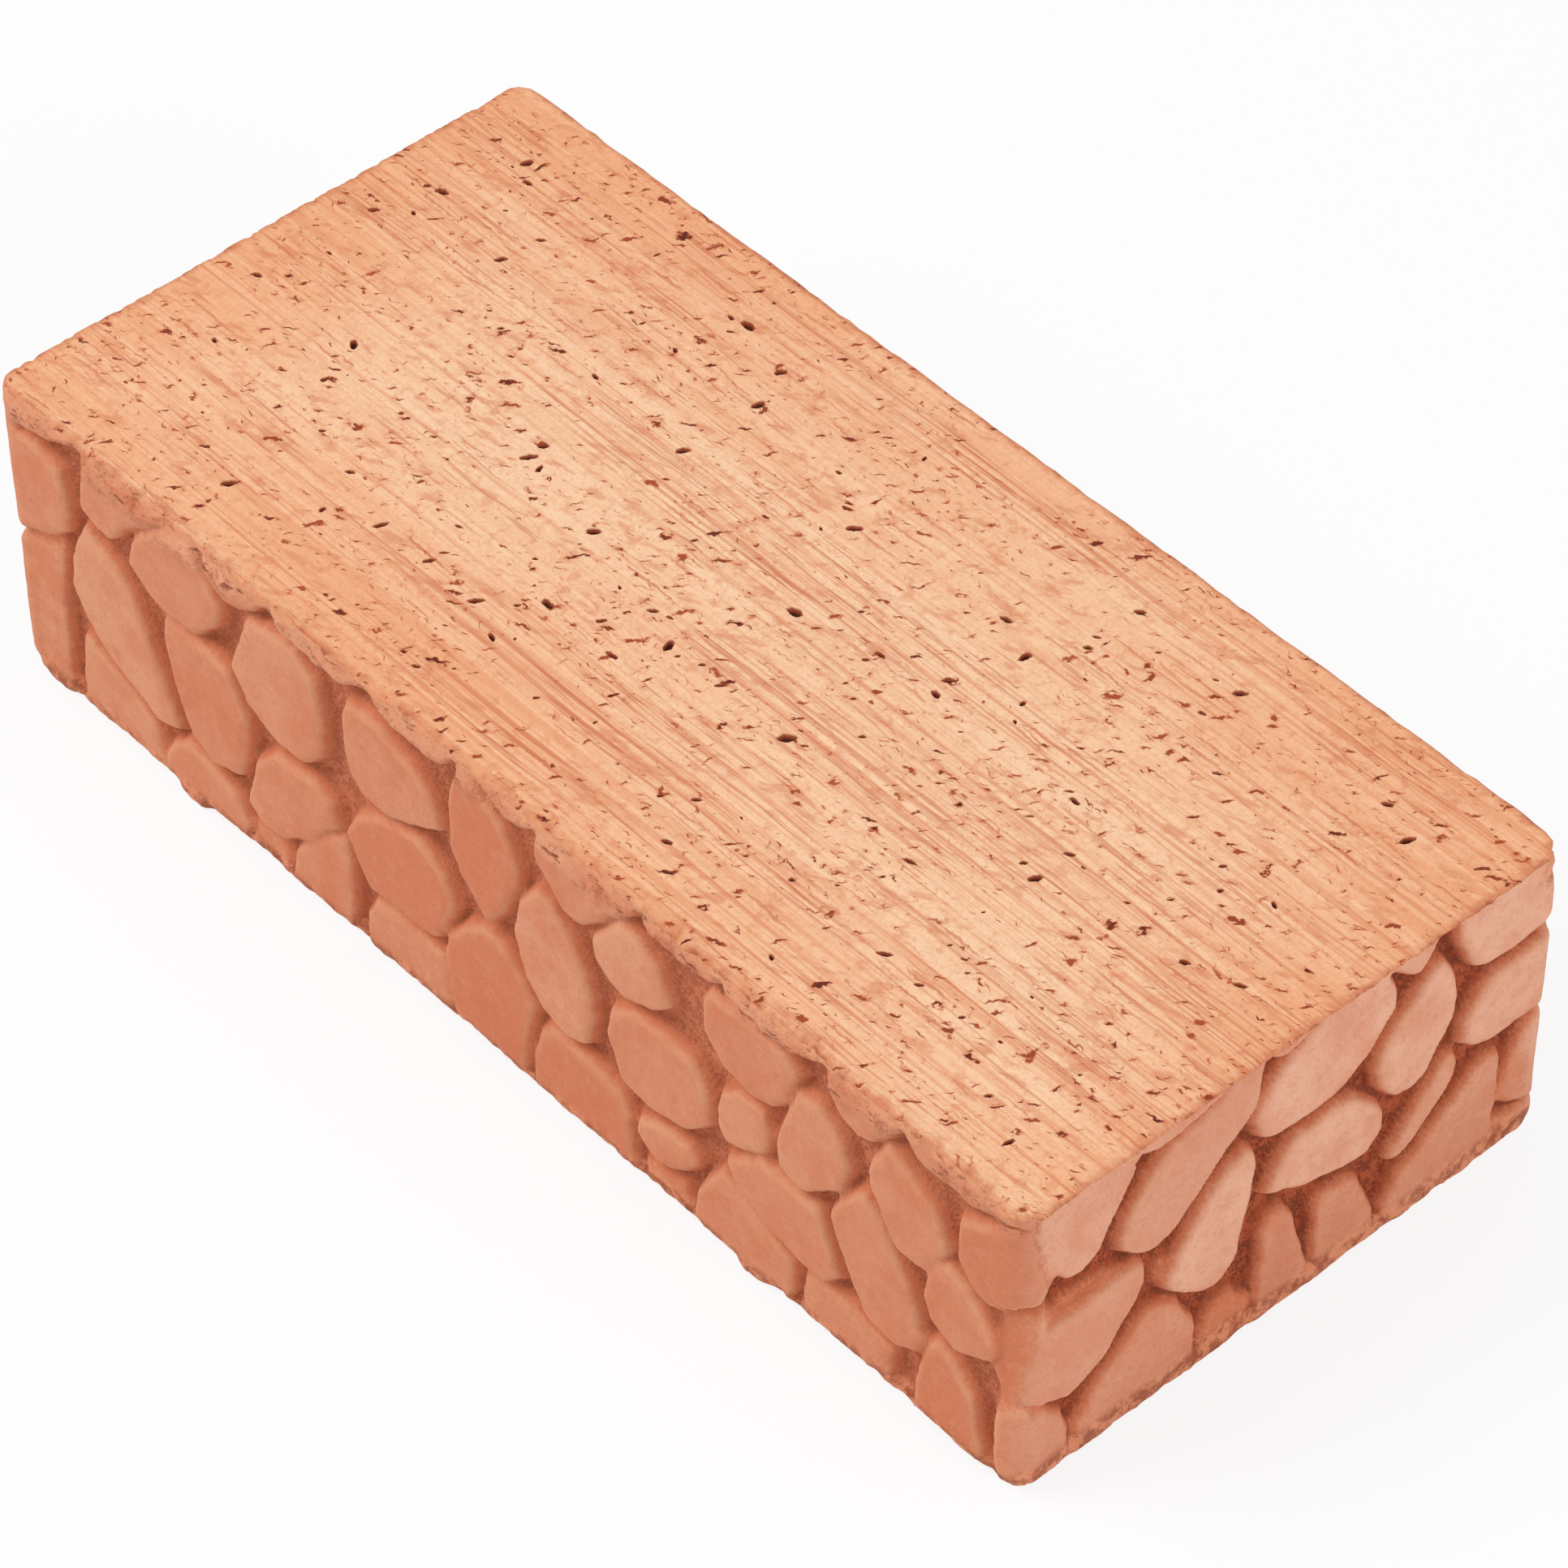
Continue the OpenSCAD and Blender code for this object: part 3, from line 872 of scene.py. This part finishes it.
# The floor of a pit has this share of its size, and lies this deep and this much deeper for
# each mm of width.
FLOOR_SHARE = 0.62
PIT_DEPTH = 0.45
DEPTH_BY_WIDTH = 0.35
# How far the outline of a pit strays from an oval, as a share, and the first narrow inset
# that its floor starts from, in mm.
PIT_UNEVEN = 0.35
FIRST_INSET = 0.02


def sink_pit(cell, along, across, length, width, slant, up):
    """Sinks one oval pit into a cell of a bed. Sizes are in mm and the slant in degrees, and
    up is 1 on the upper bed and -1 on the lower one."""
    centre = cell.calc_center_median()
    room = (min(edge.calc_length() for edge in cell.edges) / MM - CELL_RIM) / 2
    length = min(length, 2 * room)
    spare = max(0.0, room - length / 2)
    centre.x += min(max(along - centre.x / MM, -spare), spare) * MM
    centre.y += min(max(across - centre.y / MM, -spare), spare) * MM
    bmesh.ops.inset_individual(net, faces=[cell], thickness=CELL_RIM * MM)
    bmesh.ops.subdivide_edges(net, edges=list(cell.edges), cuts=2)
    lean = math.radians(slant)
    for corner in cell.verts:
        away = corner.co - centre
        angle = math.atan2(away.y, away.x)
        round_off = math.hypot(math.cos(angle - lean) / length, math.sin(angle - lean) / width)
        round_way = Vector((2 * math.cos(angle), 0, 2 * math.sin(angle)))
        uneven = 1 + PIT_UNEVEN * noise.noise(centre / MM + round_way)
        reach = uneven / (2 * round_off)
        corner.co = centre + Vector((math.cos(angle), math.sin(angle), 0)) * reach * MM
        corner.co.z = centre.z
    bmesh.ops.inset_individual(net, faces=[cell], thickness=FIRST_INSET * MM)
    for corner in cell.verts:
        corner.co = centre.lerp(corner.co, FLOOR_SHARE)
        corner.co.z = centre.z - up * (PIT_DEPTH + DEPTH_BY_WIDTH * width) * MM
        corner[kept["pit"]] = 1.0


def cell_at(cells, along, across):
    """The free cell nearest to a place given in mm."""
    spot = Vector((along * MM, across * MM, cells[0].calc_center_median().z))
    return min(cells, key=lambda cell: (cell.calc_center_median() - spot).length_squared)


def sink_pits(cells, wanted, up):
    """Sinks the wanted pits, at most one to a cell, and returns how many found room."""
    free = [cell for cell in cells if len(cell.verts) == 4]
    sunk = 0
    for along, across, length, width, slant in wanted:
        cell = cell_at(free, along, across)
        centre = cell.calc_center_median() / MM
        if max(abs(centre.x - along), abs(centre.y - across)) > FARTHEST:
            continue
        free.remove(cell)
        sink_pit(cell, along, across, length, width, slant, up)
        sunk += 1
    return sunk


def scattered_pits(kind, dice):
    """Random pits: place along, place across, length and width in mm, slant in degrees."""
    count, shortest, longest, slimmest, widest = kind
    for _ in range(count):
        length = dice.uniform(shortest, longest)
        width = length * dice.uniform(slimmest, widest)
        along = dice.uniform(-FIELD_LENGTH, FIELD_LENGTH)
        across = dice.uniform(-FIELD_WIDTH, FIELD_WIDTH)
        yield along, across, length, width, dice.gauss(PIT_SLANT, PIT_SPREAD)


dice = random.Random(PIT_SEED)
above = sink_pits(upper_cells, scattered_pits(LARGE_PITS, dice), 1)
free_cells = [cell for cell in upper_cells if cell.is_valid and not cell.verts[0][kept["pit"]]]
above += sink_pits(free_cells, scattered_pits(SMALL_PITS, dice), 1)
below = sink_pits(lower_cells, scattered_pits(PITS_BELOW, dice), -1)
print("pits:", above, "above,", below, "below")

# %% [markdown]
# ## One mesh
# Smooth shading hides the small faces of the net. At the rim of a pit it would also round the
# torn edge off. The edges there could be bevelled, but marking them sharp costs no faces.

# %% Make the brick's mesh
def in_pit(corners):
    """Whether any of these points lies on the floor of a pit."""
    return any(corner[kept["pit"]] > 0 for corner in corners)


for face in net.faces:
    face.smooth = True
for edge in net.edges:
    beside_pit = [in_pit(face.verts) for face in edge.link_faces]
    if any(beside_pit) and not all(beside_pit) and not in_pit(edge.verts):
        edge.smooth = False
mesh = bpy.data.meshes.new("clay_brick")
net.to_mesh(mesh)
net.free()
brick = bpy.data.objects.new("clay_brick", mesh)
bpy.context.scene.collection.objects.link(brick)
mesh.calc_loop_triangles()
print("triangles:", len(mesh.loop_triangles))

# %% [markdown]
# ## Clay grain and pores
# Both skins of the brick, the pressed walls and the wire-cut beds, are the same clay, so what
# they share is built once as a node group. The grain gives a height for the bump and a
# speckle for the colour. The pores come from Voronoi cells: inside a cell the distance to
# its own point is small, and a random value per cell decides how large its pore is. Stretched
# and turned coordinates make the pores slanted dashes, and noise bends them.

# %% Group: clay grain
def start_group(name, inputs, outputs):
    """A node group with named number inputs and outputs, and a vector called Place."""
    group = bpy.data.node_groups.new(name, "ShaderNodeTree")
    group.interface.new_socket("Place", in_out="INPUT", socket_type="NodeSocketVector")
    for label, value in inputs.items():
        socket = group.interface.new_socket(label, in_out="INPUT", socket_type="NodeSocketFloat")
        socket.default_value = value
    for label in outputs:
        group.interface.new_socket(label, in_out="OUTPUT", socket_type="NodeSocketFloat")
    return group, node(group, "NodeGroupInput"), node(group, "NodeGroupOutput")


grain_group, given, result = start_group(
    "clay_grain", {"Coarse Height": 0.1, "Fine Height": 0.03}, ("Height", "Speckle")
)
place = given.outputs["Place"]
coarse = cloud(grain_group, place, (1.3, 1.3, 1.3), detail=3, rough=0.6)
fine = cloud(grain_group, place, (0.35, 0.35, 0.35), detail=2, rough=0.6)
height = times(grain_group, coarse, given.outputs["Coarse Height"])
fine_height = times(grain_group, fine, given.outputs["Fine Height"])
feed(grain_group, result.inputs["Height"], maths(grain_group, "ADD", height, fine_height))
speckle = weighted(grain_group, (coarse, 0.4), (fine, 0.6))
feed(grain_group, result.inputs["Speckle"], stretch(grain_group, speckle, 0.35, 0.65))
print("group:", grain_group.name)

# %% Group: torn pores
pore_group, given, result = start_group(
    "torn_pores",
    {"Length": 5.0, "Width": 2.4, "Largest": 0.15, "Share": 0.35, "Bend": 7.0, "Fray": 1.5},
    ("Pore", "Halo"),
)
place = given.outputs["Place"]
BEND_SCALE = 130.0
FRAY_SCALE = 900.0


def noise_colour(tree, place, scale, detail):
    """Noise as a colour, whose three channels can move coordinates three ways."""
    return node(
        tree, "ShaderNodeTexNoise", {"Vector": place, "Scale": scale, "Detail": detail}
    ).outputs["Color"]


def nudged(tree, place, shift, amount):
    """Coordinates moved by a noise colour, by at most half the amount in mm each way."""
    centred = node(
        tree, "ShaderNodeVectorMath", {0: shift, 1: (0.5, 0.5, 0.5)}, operation="SUBTRACT"
    ).outputs[0]
    metres = times(tree, amount, MM)
    moved = node(
        tree, "ShaderNodeVectorMath", {0: centred, "Scale": metres}, operation="SCALE"
    ).outputs[0]
    return node(tree, "ShaderNodeVectorMath", {0: place, 1: moved}, operation="ADD").outputs[0]


bend = noise_colour(pore_group, place, BEND_SCALE, 1.0)
fray = noise_colour(pore_group, place, FRAY_SCALE, 2.0)
bent = nudged(pore_group, place, bend, given.outputs["Bend"])
bent = nudged(pore_group, bent, fray, given.outputs["Fray"])
# Voronoi cells are 1 across, so the place is divided by the size that a cell shall have. Its
# third number isn't used by flat cells, and only mustn't be 0.
cell_length = times(pore_group, given.outputs["Length"], MM)
cell_width = times(pore_group, given.outputs["Width"], MM)
cell_size = node(
    pore_group, "ShaderNodeCombineXYZ", {0: cell_length, 1: cell_width, 2: 1000.0}
).outputs[0]
grid = node(
    pore_group, "ShaderNodeVectorMath", {0: bent, 1: cell_size}, operation="DIVIDE"
).outputs[0]
cells = node(
    pore_group, "ShaderNodeTexVoronoi", {"Vector": grid, "Scale": 1.0}, voronoi_dimensions="2D"
)

# %% Size, strength and halo of the pores
# Each cell has a colour at random, and its channels decide about its pore: whether there is
# one, how large it is and how dark.
luck = node(pore_group, "ShaderNodeSeparateColor", {0: cells.outputs["Color"]}).outputs
swarm = cloud(pore_group, place, (16, 9, 16), detail=1)
gathered = stretch(pore_group, swarm, 0.35, 0.65, 0.2, 2.0)
share = times(pore_group, given.outputs["Share"], gathered)
chosen = maths(pore_group, "LESS_THAN", luck[0], share)
size = maths(pore_group, "POWER", luck[1], 2.5)
size = maths(pore_group, "ADD", times(pore_group, size, 0.7), 0.3)
size = times(pore_group, size, chosen)
size = times(pore_group, size, given.outputs["Largest"])
gap = maths(pore_group, "SUBTRACT", size, cells.outputs["Distance"])
strength = maths(pore_group, "ADD", times(pore_group, luck[2], 0.65), 0.35)
pore = times(pore_group, stretch(pore_group, gap, -0.03, 0.08), strength)
feed(pore_group, result.inputs["Pore"], pore)
halo = times(pore_group, stretch(pore_group, gap, -0.14, 0.02), chosen)
feed(pore_group, result.inputs["Halo"], halo)
print("group:", pore_group.name)

# %% Helpers for the two clays
BUMP_STRENGTH = 0.8
CLAY_SHINE = 0.25


def use_group(tree, group, **values):
    """Places a node group and feeds its named inputs, with _ for a space."""
    made = node(tree, "ShaderNodeGroup", node_tree=group)
    for name, value in values.items():
        feed(tree, made.inputs[name.replace("_", " ")], value)
    return made.outputs


def start_material(name):
    """A new empty material, its tree and the object's own coordinates."""
    made = bpy.data.materials.new(name)
    made.use_nodes = True
    tree = made.node_tree
    tree.nodes.clear()
    return made, tree, node(tree, "ShaderNodeTexCoord").outputs["Object"]


def finish_material(material, tree, colour, roughness, height):
    """Wires up the shader of a clay, with a bump height in mm, and gives it to the brick."""
    bump = node(
        tree, "ShaderNodeBump", {"Height": height, "Distance": MM, "Strength": BUMP_STRENGTH}
    )
    skin = node(
        tree,
        "ShaderNodeBsdfPrincipled",
        {
            "Base Color": colour,
            "Roughness": roughness,
            "Normal": bump.outputs[0],
            "Specular IOR Level": CLAY_SHINE,
        },
    )
    node(tree, "ShaderNodeOutputMaterial", {"Surface": skin.outputs[0]})
    mesh.materials.append(material)
    print("material:", material.name)


print("helpers for clay ready")

# %% [markdown]
# ## Pressed clay
# The roller polishes the faces of the stones, so they are pale and fine with faint upright
# streaks. Down the sides of a stone the colour gets more orange and in the joints dark brown,
# with a frayed change between them, partly the clay's own colour and partly painted shade in
# the recesses. The depth kept in the mesh drives those colours, and noise is added to it
# first, because a change that follows the depth alone looks sprayed on. The end is paler and
# pinker than the long side.

# %% Material of the walls
pressed, tree, place = start_material("pressed_clay")
recess = attribute(tree, "recess")
rim = attribute(tree, "rim")
near_edge = attribute(tree, "near_edge")
tone = attribute(tree, "tone")
end_share = attribute(tree, "end_share")
plain = attribute(tree, "plain")
front_edge = attribute(tree, "front_edge")
grain = use_group(tree, grain_group, Place=place, Coarse_Height=0.10, Fine_Height=0.04)

# %% Noise that frays the depth
fray = cloud(tree, place, (1.4, 1.4, 1.4), detail=4, rough=0.7)
mottle = cloud(tree, place, (4.5, 4.5, 4.5), detail=4, rough=0.7)
patch = cloud(tree, place, (9, 9, 9), detail=2)
streak = cloud(tree, place, (0.9, 0.9, 12), detail=2)
uneven = weighted(tree, (fray, 0.55), (grain["Speckle"], 0.2), (patch, 0.25))
depth = times(tree, recess, stretch(tree, uneven, 0.25, 0.75, 0.65, 1.35))
long_share = maths(tree, "SUBTRACT", 1.0, end_share)
depth = maths(tree, "SUBTRACT", depth, times(tree, long_share, 0.12))
flank = stretch(tree, depth, 0.02, 0.45)
joint = stretch(tree, depth, 0.36, 0.88)
print("walls: depth ready")

# %% Colour of the stones
stone_long = mix(tree, tone, linear(210, 121, 84), linear(226, 158, 122))
stone_end = mix(tree, tone, linear(207, 129, 97), linear(237, 181, 152))
stone = mix(tree, end_share, stone_long, stone_end)
tan = mix(tree, end_share, linear(220, 150, 112), linear(224, 158, 126))
outer_part = stretch(tree, weighted(tree, (near_edge, 1.0), (fray, 0.1)), 0.14, 0.36, 0.0, 0.5)
stone = mix(tree, outer_part, stone, tan)
shaded = mix(tree, end_share, linear(210, 120, 82), linear(216, 136, 104))
stone = mix(tree, stretch(tree, patch, 0.45, 0.7, 0.0, 0.4), stone, shaded)
stone = mix(tree, stretch(tree, mottle, 0.42, 0.66, 0.0, 0.4), stone, shaded)
stone = tint(tree, stone, stretch(tree, streak, 0.4, 0.75, 0.0, 0.03), 236, 184, 152)
stone = tint(tree, stone, stretch(tree, grain["Speckle"], 0.5, 1.0, 0.0, 0.22), 194, 108, 74)
stone = tint(tree, stone, stretch(tree, fray, 0.52, 0.32, 0.0, 0.09), 240, 190, 160)
ragged_rim = times(tree, rim, stretch(tree, fray, 0.35, 0.6, 0.2, 1.5))
pale_rim = stretch(tree, ragged_rim, 0.02, 0.1)
stone = tint(tree, stone, times(tree, pale_rim, 0.3), 230, 172, 134)
print("walls: stones ready")

# %% Colour of the joints
flank_clay_and_shade = mix(tree, end_share, linear(211, 125, 88), linear(209, 122, 85))
speckle = stretch(tree, uneven, 0.34, 0.6)
joint_long = mix(tree, speckle, linear(154, 81, 53), linear(208, 124, 89))
joint_end = mix(tree, speckle, linear(98, 37, 20), linear(178, 88, 55))
joint_clay_and_shade = mix(tree, end_share, joint_long, joint_end)
# The flanks and joints darken with depth: partly the clay's own colour, partly painted shade in
# the recesses.
colour = mix(tree, flank, stone, flank_clay_and_shade)
colour = mix(tree, joint, colour, joint_clay_and_shade)
# Painted shade: in the corners of the joints, where a point lies lower than its neighbours, the
# colour darkens, more so on the end.
painted_corner_shade = stretch(tree, times(tree, rim, -1.0), 0.04, 0.22)
corner_shade_share = weighted(tree, (end_share, 0.38), (1.0, 0.14))
painted_corner_shade = times(tree, painted_corner_shade, corner_shade_share)
colour = tint(tree, colour, painted_corner_shade, 110, 52, 34)
print("walls: joints ready")

# %% Crumbly edges
# Heights between which the foot's sand and the worn upper edge fade.
SAND_BAND = (6.8 * MM, 4.2 * MM)
ARRIS_BAND = (64.2 * MM, 66.2 * MM)

height = node(tree, "ShaderNodeSeparateXYZ", {0: place}).outputs[2]
ragged_height = maths(tree, "ADD", height, times(tree, fray, 3 * MM))
foot_height = weighted(tree, (ragged_height, 1.0), (end_share, -2.6 * MM))
near_foot = stretch(tree, foot_height, *SAND_BAND)
sandy = mix(tree, stretch(tree, fray, 0.4, 0.6), linear(228, 148, 110), linear(152, 78, 50))
colour = mix(tree, times(tree, near_foot, 0.8), colour, sandy)
crumbly = mix(tree, stretch(tree, patch, 0.35, 0.65), linear(224, 138, 100), linear(240, 168, 130))
crumbly = tint(tree, crumbly, stretch(tree, fray, 0.5, 0.66, 0.0, 0.6), 168, 88, 58)
crumbly = tint(tree, crumbly, stretch(tree, fray, 0.5, 0.36, 0.0, 0.4), 240, 170, 134)
cracks = cloud(tree, place, (2.6, 2.6, 0.9), detail=3, rough=0.7)
cracked = stretch(tree, cracks, 0.57, 0.66, 0.0, 0.85)
crumbly = tint(tree, crumbly, cracked, 134, 62, 38)
arris = stretch(tree, ragged_height, *ARRIS_BAND)
crumbly = tint(tree, crumbly, arris, 238, 164, 122)
cover = times(tree, front_edge, stretch(tree, fray, 0.3, 0.55, 0.45, 0.95))
colour = mix(tree, cover, colour, crumbly)
print("walls: edges ready")

# %% Colour of the plain back
# The pore group makes flat cells over x and y, so for the upright back the place is turned.
back = mix(tree, patch, linear(222, 142, 104), linear(232, 160, 122))
back = tint(tree, back, stretch(tree, streak, 0.5, 0.75, 0.0, 0.5), 196, 116, 82)
upright_place = node(
    tree, "ShaderNodeMapping", {"Vector": place, "Rotation": (math.radians(90), 0, 0)}
).outputs[0]
wall_pores = use_group(
    tree, pore_group, Place=upright_place, Length=4.0, Width=4.0, Largest=0.12, Share=0.3
)
# The dark pores of the back are painted shade in hollows too fine for the mesh.
back = tint(tree, back, wall_pores["Pore"], 140, 72, 48)
colour = mix(tree, plain, colour, back)
print("walls: back ready")

# %% Relief and shader of the walls
bump_height = weighted(
    tree,
    (grain["Height"], 1.0),
    (mottle, 0.35),
    (times(tree, near_foot, fray), 0.5),
    (times(tree, joint, fray), 0.4),
    (times(tree, front_edge, fray), 1.6),
    (times(tree, front_edge, cracked), -0.6),
)
roughness = stretch(tree, depth, 0.0, 0.4, 0.78, 0.95)
finish_material(pressed, tree, colour, roughness, bump_height)

# %% [markdown]
# ## Wire-cut clay
# The wire dragged along the length of the brick. It left fine parallel lines, some of them
# long and some only short bundles, and it smeared the clay paler in the middle. Noise that is
# stretched a hundred times along the length gives such lines. Dark slanted pores, small
# reddish ones and long faint trails come from the pore group, which is placed three times
# with different sizes and turns.

# %% Drag lines
# The lines aren't quite straight: how tight their waves are, and how wide in mm.
WAVE_SCALE = 25.0
WAVE_MOVE = 2.4

wire_cut, tree, place = start_material("wire_cut_clay")
inland = attribute(tree, "inland")
pit = attribute(tree, "pit")
grain = use_group(tree, grain_group, Place=place, Coarse_Height=0.05, Fine_Height=0.04)
blotch = cloud(tree, place, (55, 38, 50), detail=3)
smear = cloud(tree, place, (90, 5, 50), detail=3)
fine_lines = cloud(tree, place, (45, 0.42, 50), detail=3, rough=0.6)
soft_lines = cloud(tree, place, (70, 1.1, 50), detail=2, rough=0.6)
waves = noise_colour(tree, place, WAVE_SCALE, 2.0)
bent_place = nudged(tree, place, waves, WAVE_MOVE)
long_lines = cloud(tree, bent_place, (38, 0.34, 50), detail=2)
hair = times(tree, stretch(tree, long_lines, 0.56, 0.66), stretch(tree, smear, 0.4, 0.6))
short_lines = cloud(tree, bent_place, (7, 0.34, 50), detail=2)
where = cloud(tree, place, (20, 5, 50), detail=1)
bundles = times(tree, stretch(tree, short_lines, 0.55, 0.65), stretch(tree, where, 0.48, 0.6))
crumbs = cloud(tree, place, (1.4, 1.4, 50), detail=3, rough=0.65)
print("beds: lines ready")

# %% Pores of the beds
# How far the dark pores and the reddish ones slant, in degrees.
DARK_TURN = 46
RED_TURN = 12


def turned(tree, place, degrees):
    """The same coordinates, turned in plan by degrees."""
    return sized(tree, place, (1 / MM, 1 / MM, 1 / MM), degrees)


# Near the edges of a bed the wire tears out more grains.
torn = stretch(tree, inland, 0.35, 0.05, 1.0, 1.5)
dark_pores = use_group(
    tree,
    pore_group,
    Place=turned(tree, place, DARK_TURN),
    Length=6.2,
    Width=2.1,
    Largest=0.22,
    Share=times(tree, torn, 0.36),
    Fray=2.0,
)
red_pores = use_group(
    tree,
    pore_group,
    Place=turned(tree, place, RED_TURN),
    Length=3.9,
    Width=1.3,
    Largest=0.17,
    Share=times(tree, torn, 0.5),
    Fray=2.0,
)
trails = use_group(
    tree,
    pore_group,
    Place=place,
    Length=24.0,
    Width=1.1,
    Largest=0.28,
    Share=0.36,
    Bend=2.0,
    Fray=1.0,
)
print("beds: pores ready")

# %% Colour of the beds
warm, cream = linear(246, 179, 134), linear(253, 209, 170)
middle = weighted(tree, (inland, 0.4), (blotch, 0.9), (smear, 0.35))
colour = mix(tree, stretch(tree, middle, 0.5, 1.05), warm, cream)
smeared = stretch(tree, smear, 0.38, 0.6, 0.15, 0.46)
dragged = times(tree, stretch(tree, fine_lines, 0.5, 0.64), smeared)
colour = tint(tree, colour, dragged, 226, 138, 94)
colour = tint(tree, colour, stretch(tree, fine_lines, 0.5, 0.34, 0.0, 0.3), 255, 220, 184)
colour = tint(tree, colour, stretch(tree, soft_lines, 0.52, 0.68, 0.0, 0.2), 230, 148, 104)
colour = tint(tree, colour, stretch(tree, crumbs, 0.56, 0.68, 0.0, 0.4), 222, 138, 94)
colour = tint(tree, colour, times(tree, hair, 0.5), 206, 112, 72)
colour = tint(tree, colour, times(tree, bundles, 0.5), 200, 106, 68)
colour = tint(tree, colour, times(tree, trails["Halo"], 0.2), 222, 134, 92)
colour = tint(tree, colour, times(tree, trails["Pore"], 0.6), 200, 106, 68)
colour = tint(tree, colour, stretch(tree, grain["Speckle"], 0.3, 0.9, 0.0, 0.22), 222, 140, 98)
print("beds: clay and lines coloured")

# %% Smudges, pores and the broken edge
smudge_noise = cloud(tree, place, (3.4, 1.3, 50), detail=4, rough=0.6, turn=18)
smudge = stretch(tree, smudge_noise, 0.55, 0.68, 0.0, 0.5)
colour = tint(tree, colour, smudge, 216, 128, 88)
broken = weighted(tree, (inland, INLAND_REACH / MM), (crumbs, 5.0))
colour = tint(tree, colour, stretch(tree, broken, 4.4, 2.2, 0.0, 0.75), 208, 122, 84)
colour = tint(tree, colour, stretch(tree, broken, 2.6, 1.6, 0.0, 0.7), 150, 76, 48)
# The halos round the pores are the clay's own reddish colour; the dark cores of the pores are
# painted shade in hollows too fine for the mesh.
colour = tint(tree, colour, times(tree, red_pores["Halo"], 0.35), 216, 126, 84)
colour = tint(tree, colour, stretch(tree, red_pores["Pore"], 0.0, 0.5, 0.0, 0.9), 194, 98, 60)
colour = tint(tree, colour, stretch(tree, red_pores["Pore"], 0.5, 1.0), 124, 52, 32)
colour = tint(tree, colour, times(tree, dark_pores["Halo"], 0.5), 212, 118, 76)
colour = tint(tree, colour, stretch(tree, dark_pores["Pore"], 0.0, 0.45), 172, 78, 48)
colour = tint(tree, colour, stretch(tree, dark_pores["Pore"], 0.5, 1.0), 96, 38, 24)
# The real pits turn reddish down their walls, the torn clay's own colour, and their floors are
# darkened as painted shade.
colour = tint(tree, colour, stretch(tree, pit, 0.0, 0.35), 164, 78, 48)
colour = tint(tree, colour, stretch(tree, pit, 0.4, 1.0), 84, 34, 24)
print("beds: colour ready")

# %% Relief and shader of the beds
bump_height = weighted(
    tree,
    (grain["Height"], 1.0),
    (fine_lines, -0.07),
    (soft_lines, -0.1),
    (times(tree, stretch(tree, inland, 0.06, 0.0), crumbs), 0.5),
    (red_pores["Pore"], -0.15),
    (dark_pores["Pore"], -0.25),
)
roughness = stretch(tree, soft_lines, 0.3, 0.7, 0.82, 0.95)
finish_material(wire_cut, tree, colour, roughness, bump_height)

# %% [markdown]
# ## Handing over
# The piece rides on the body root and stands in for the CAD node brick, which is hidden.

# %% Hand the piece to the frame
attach(brick, "root")
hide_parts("brick")
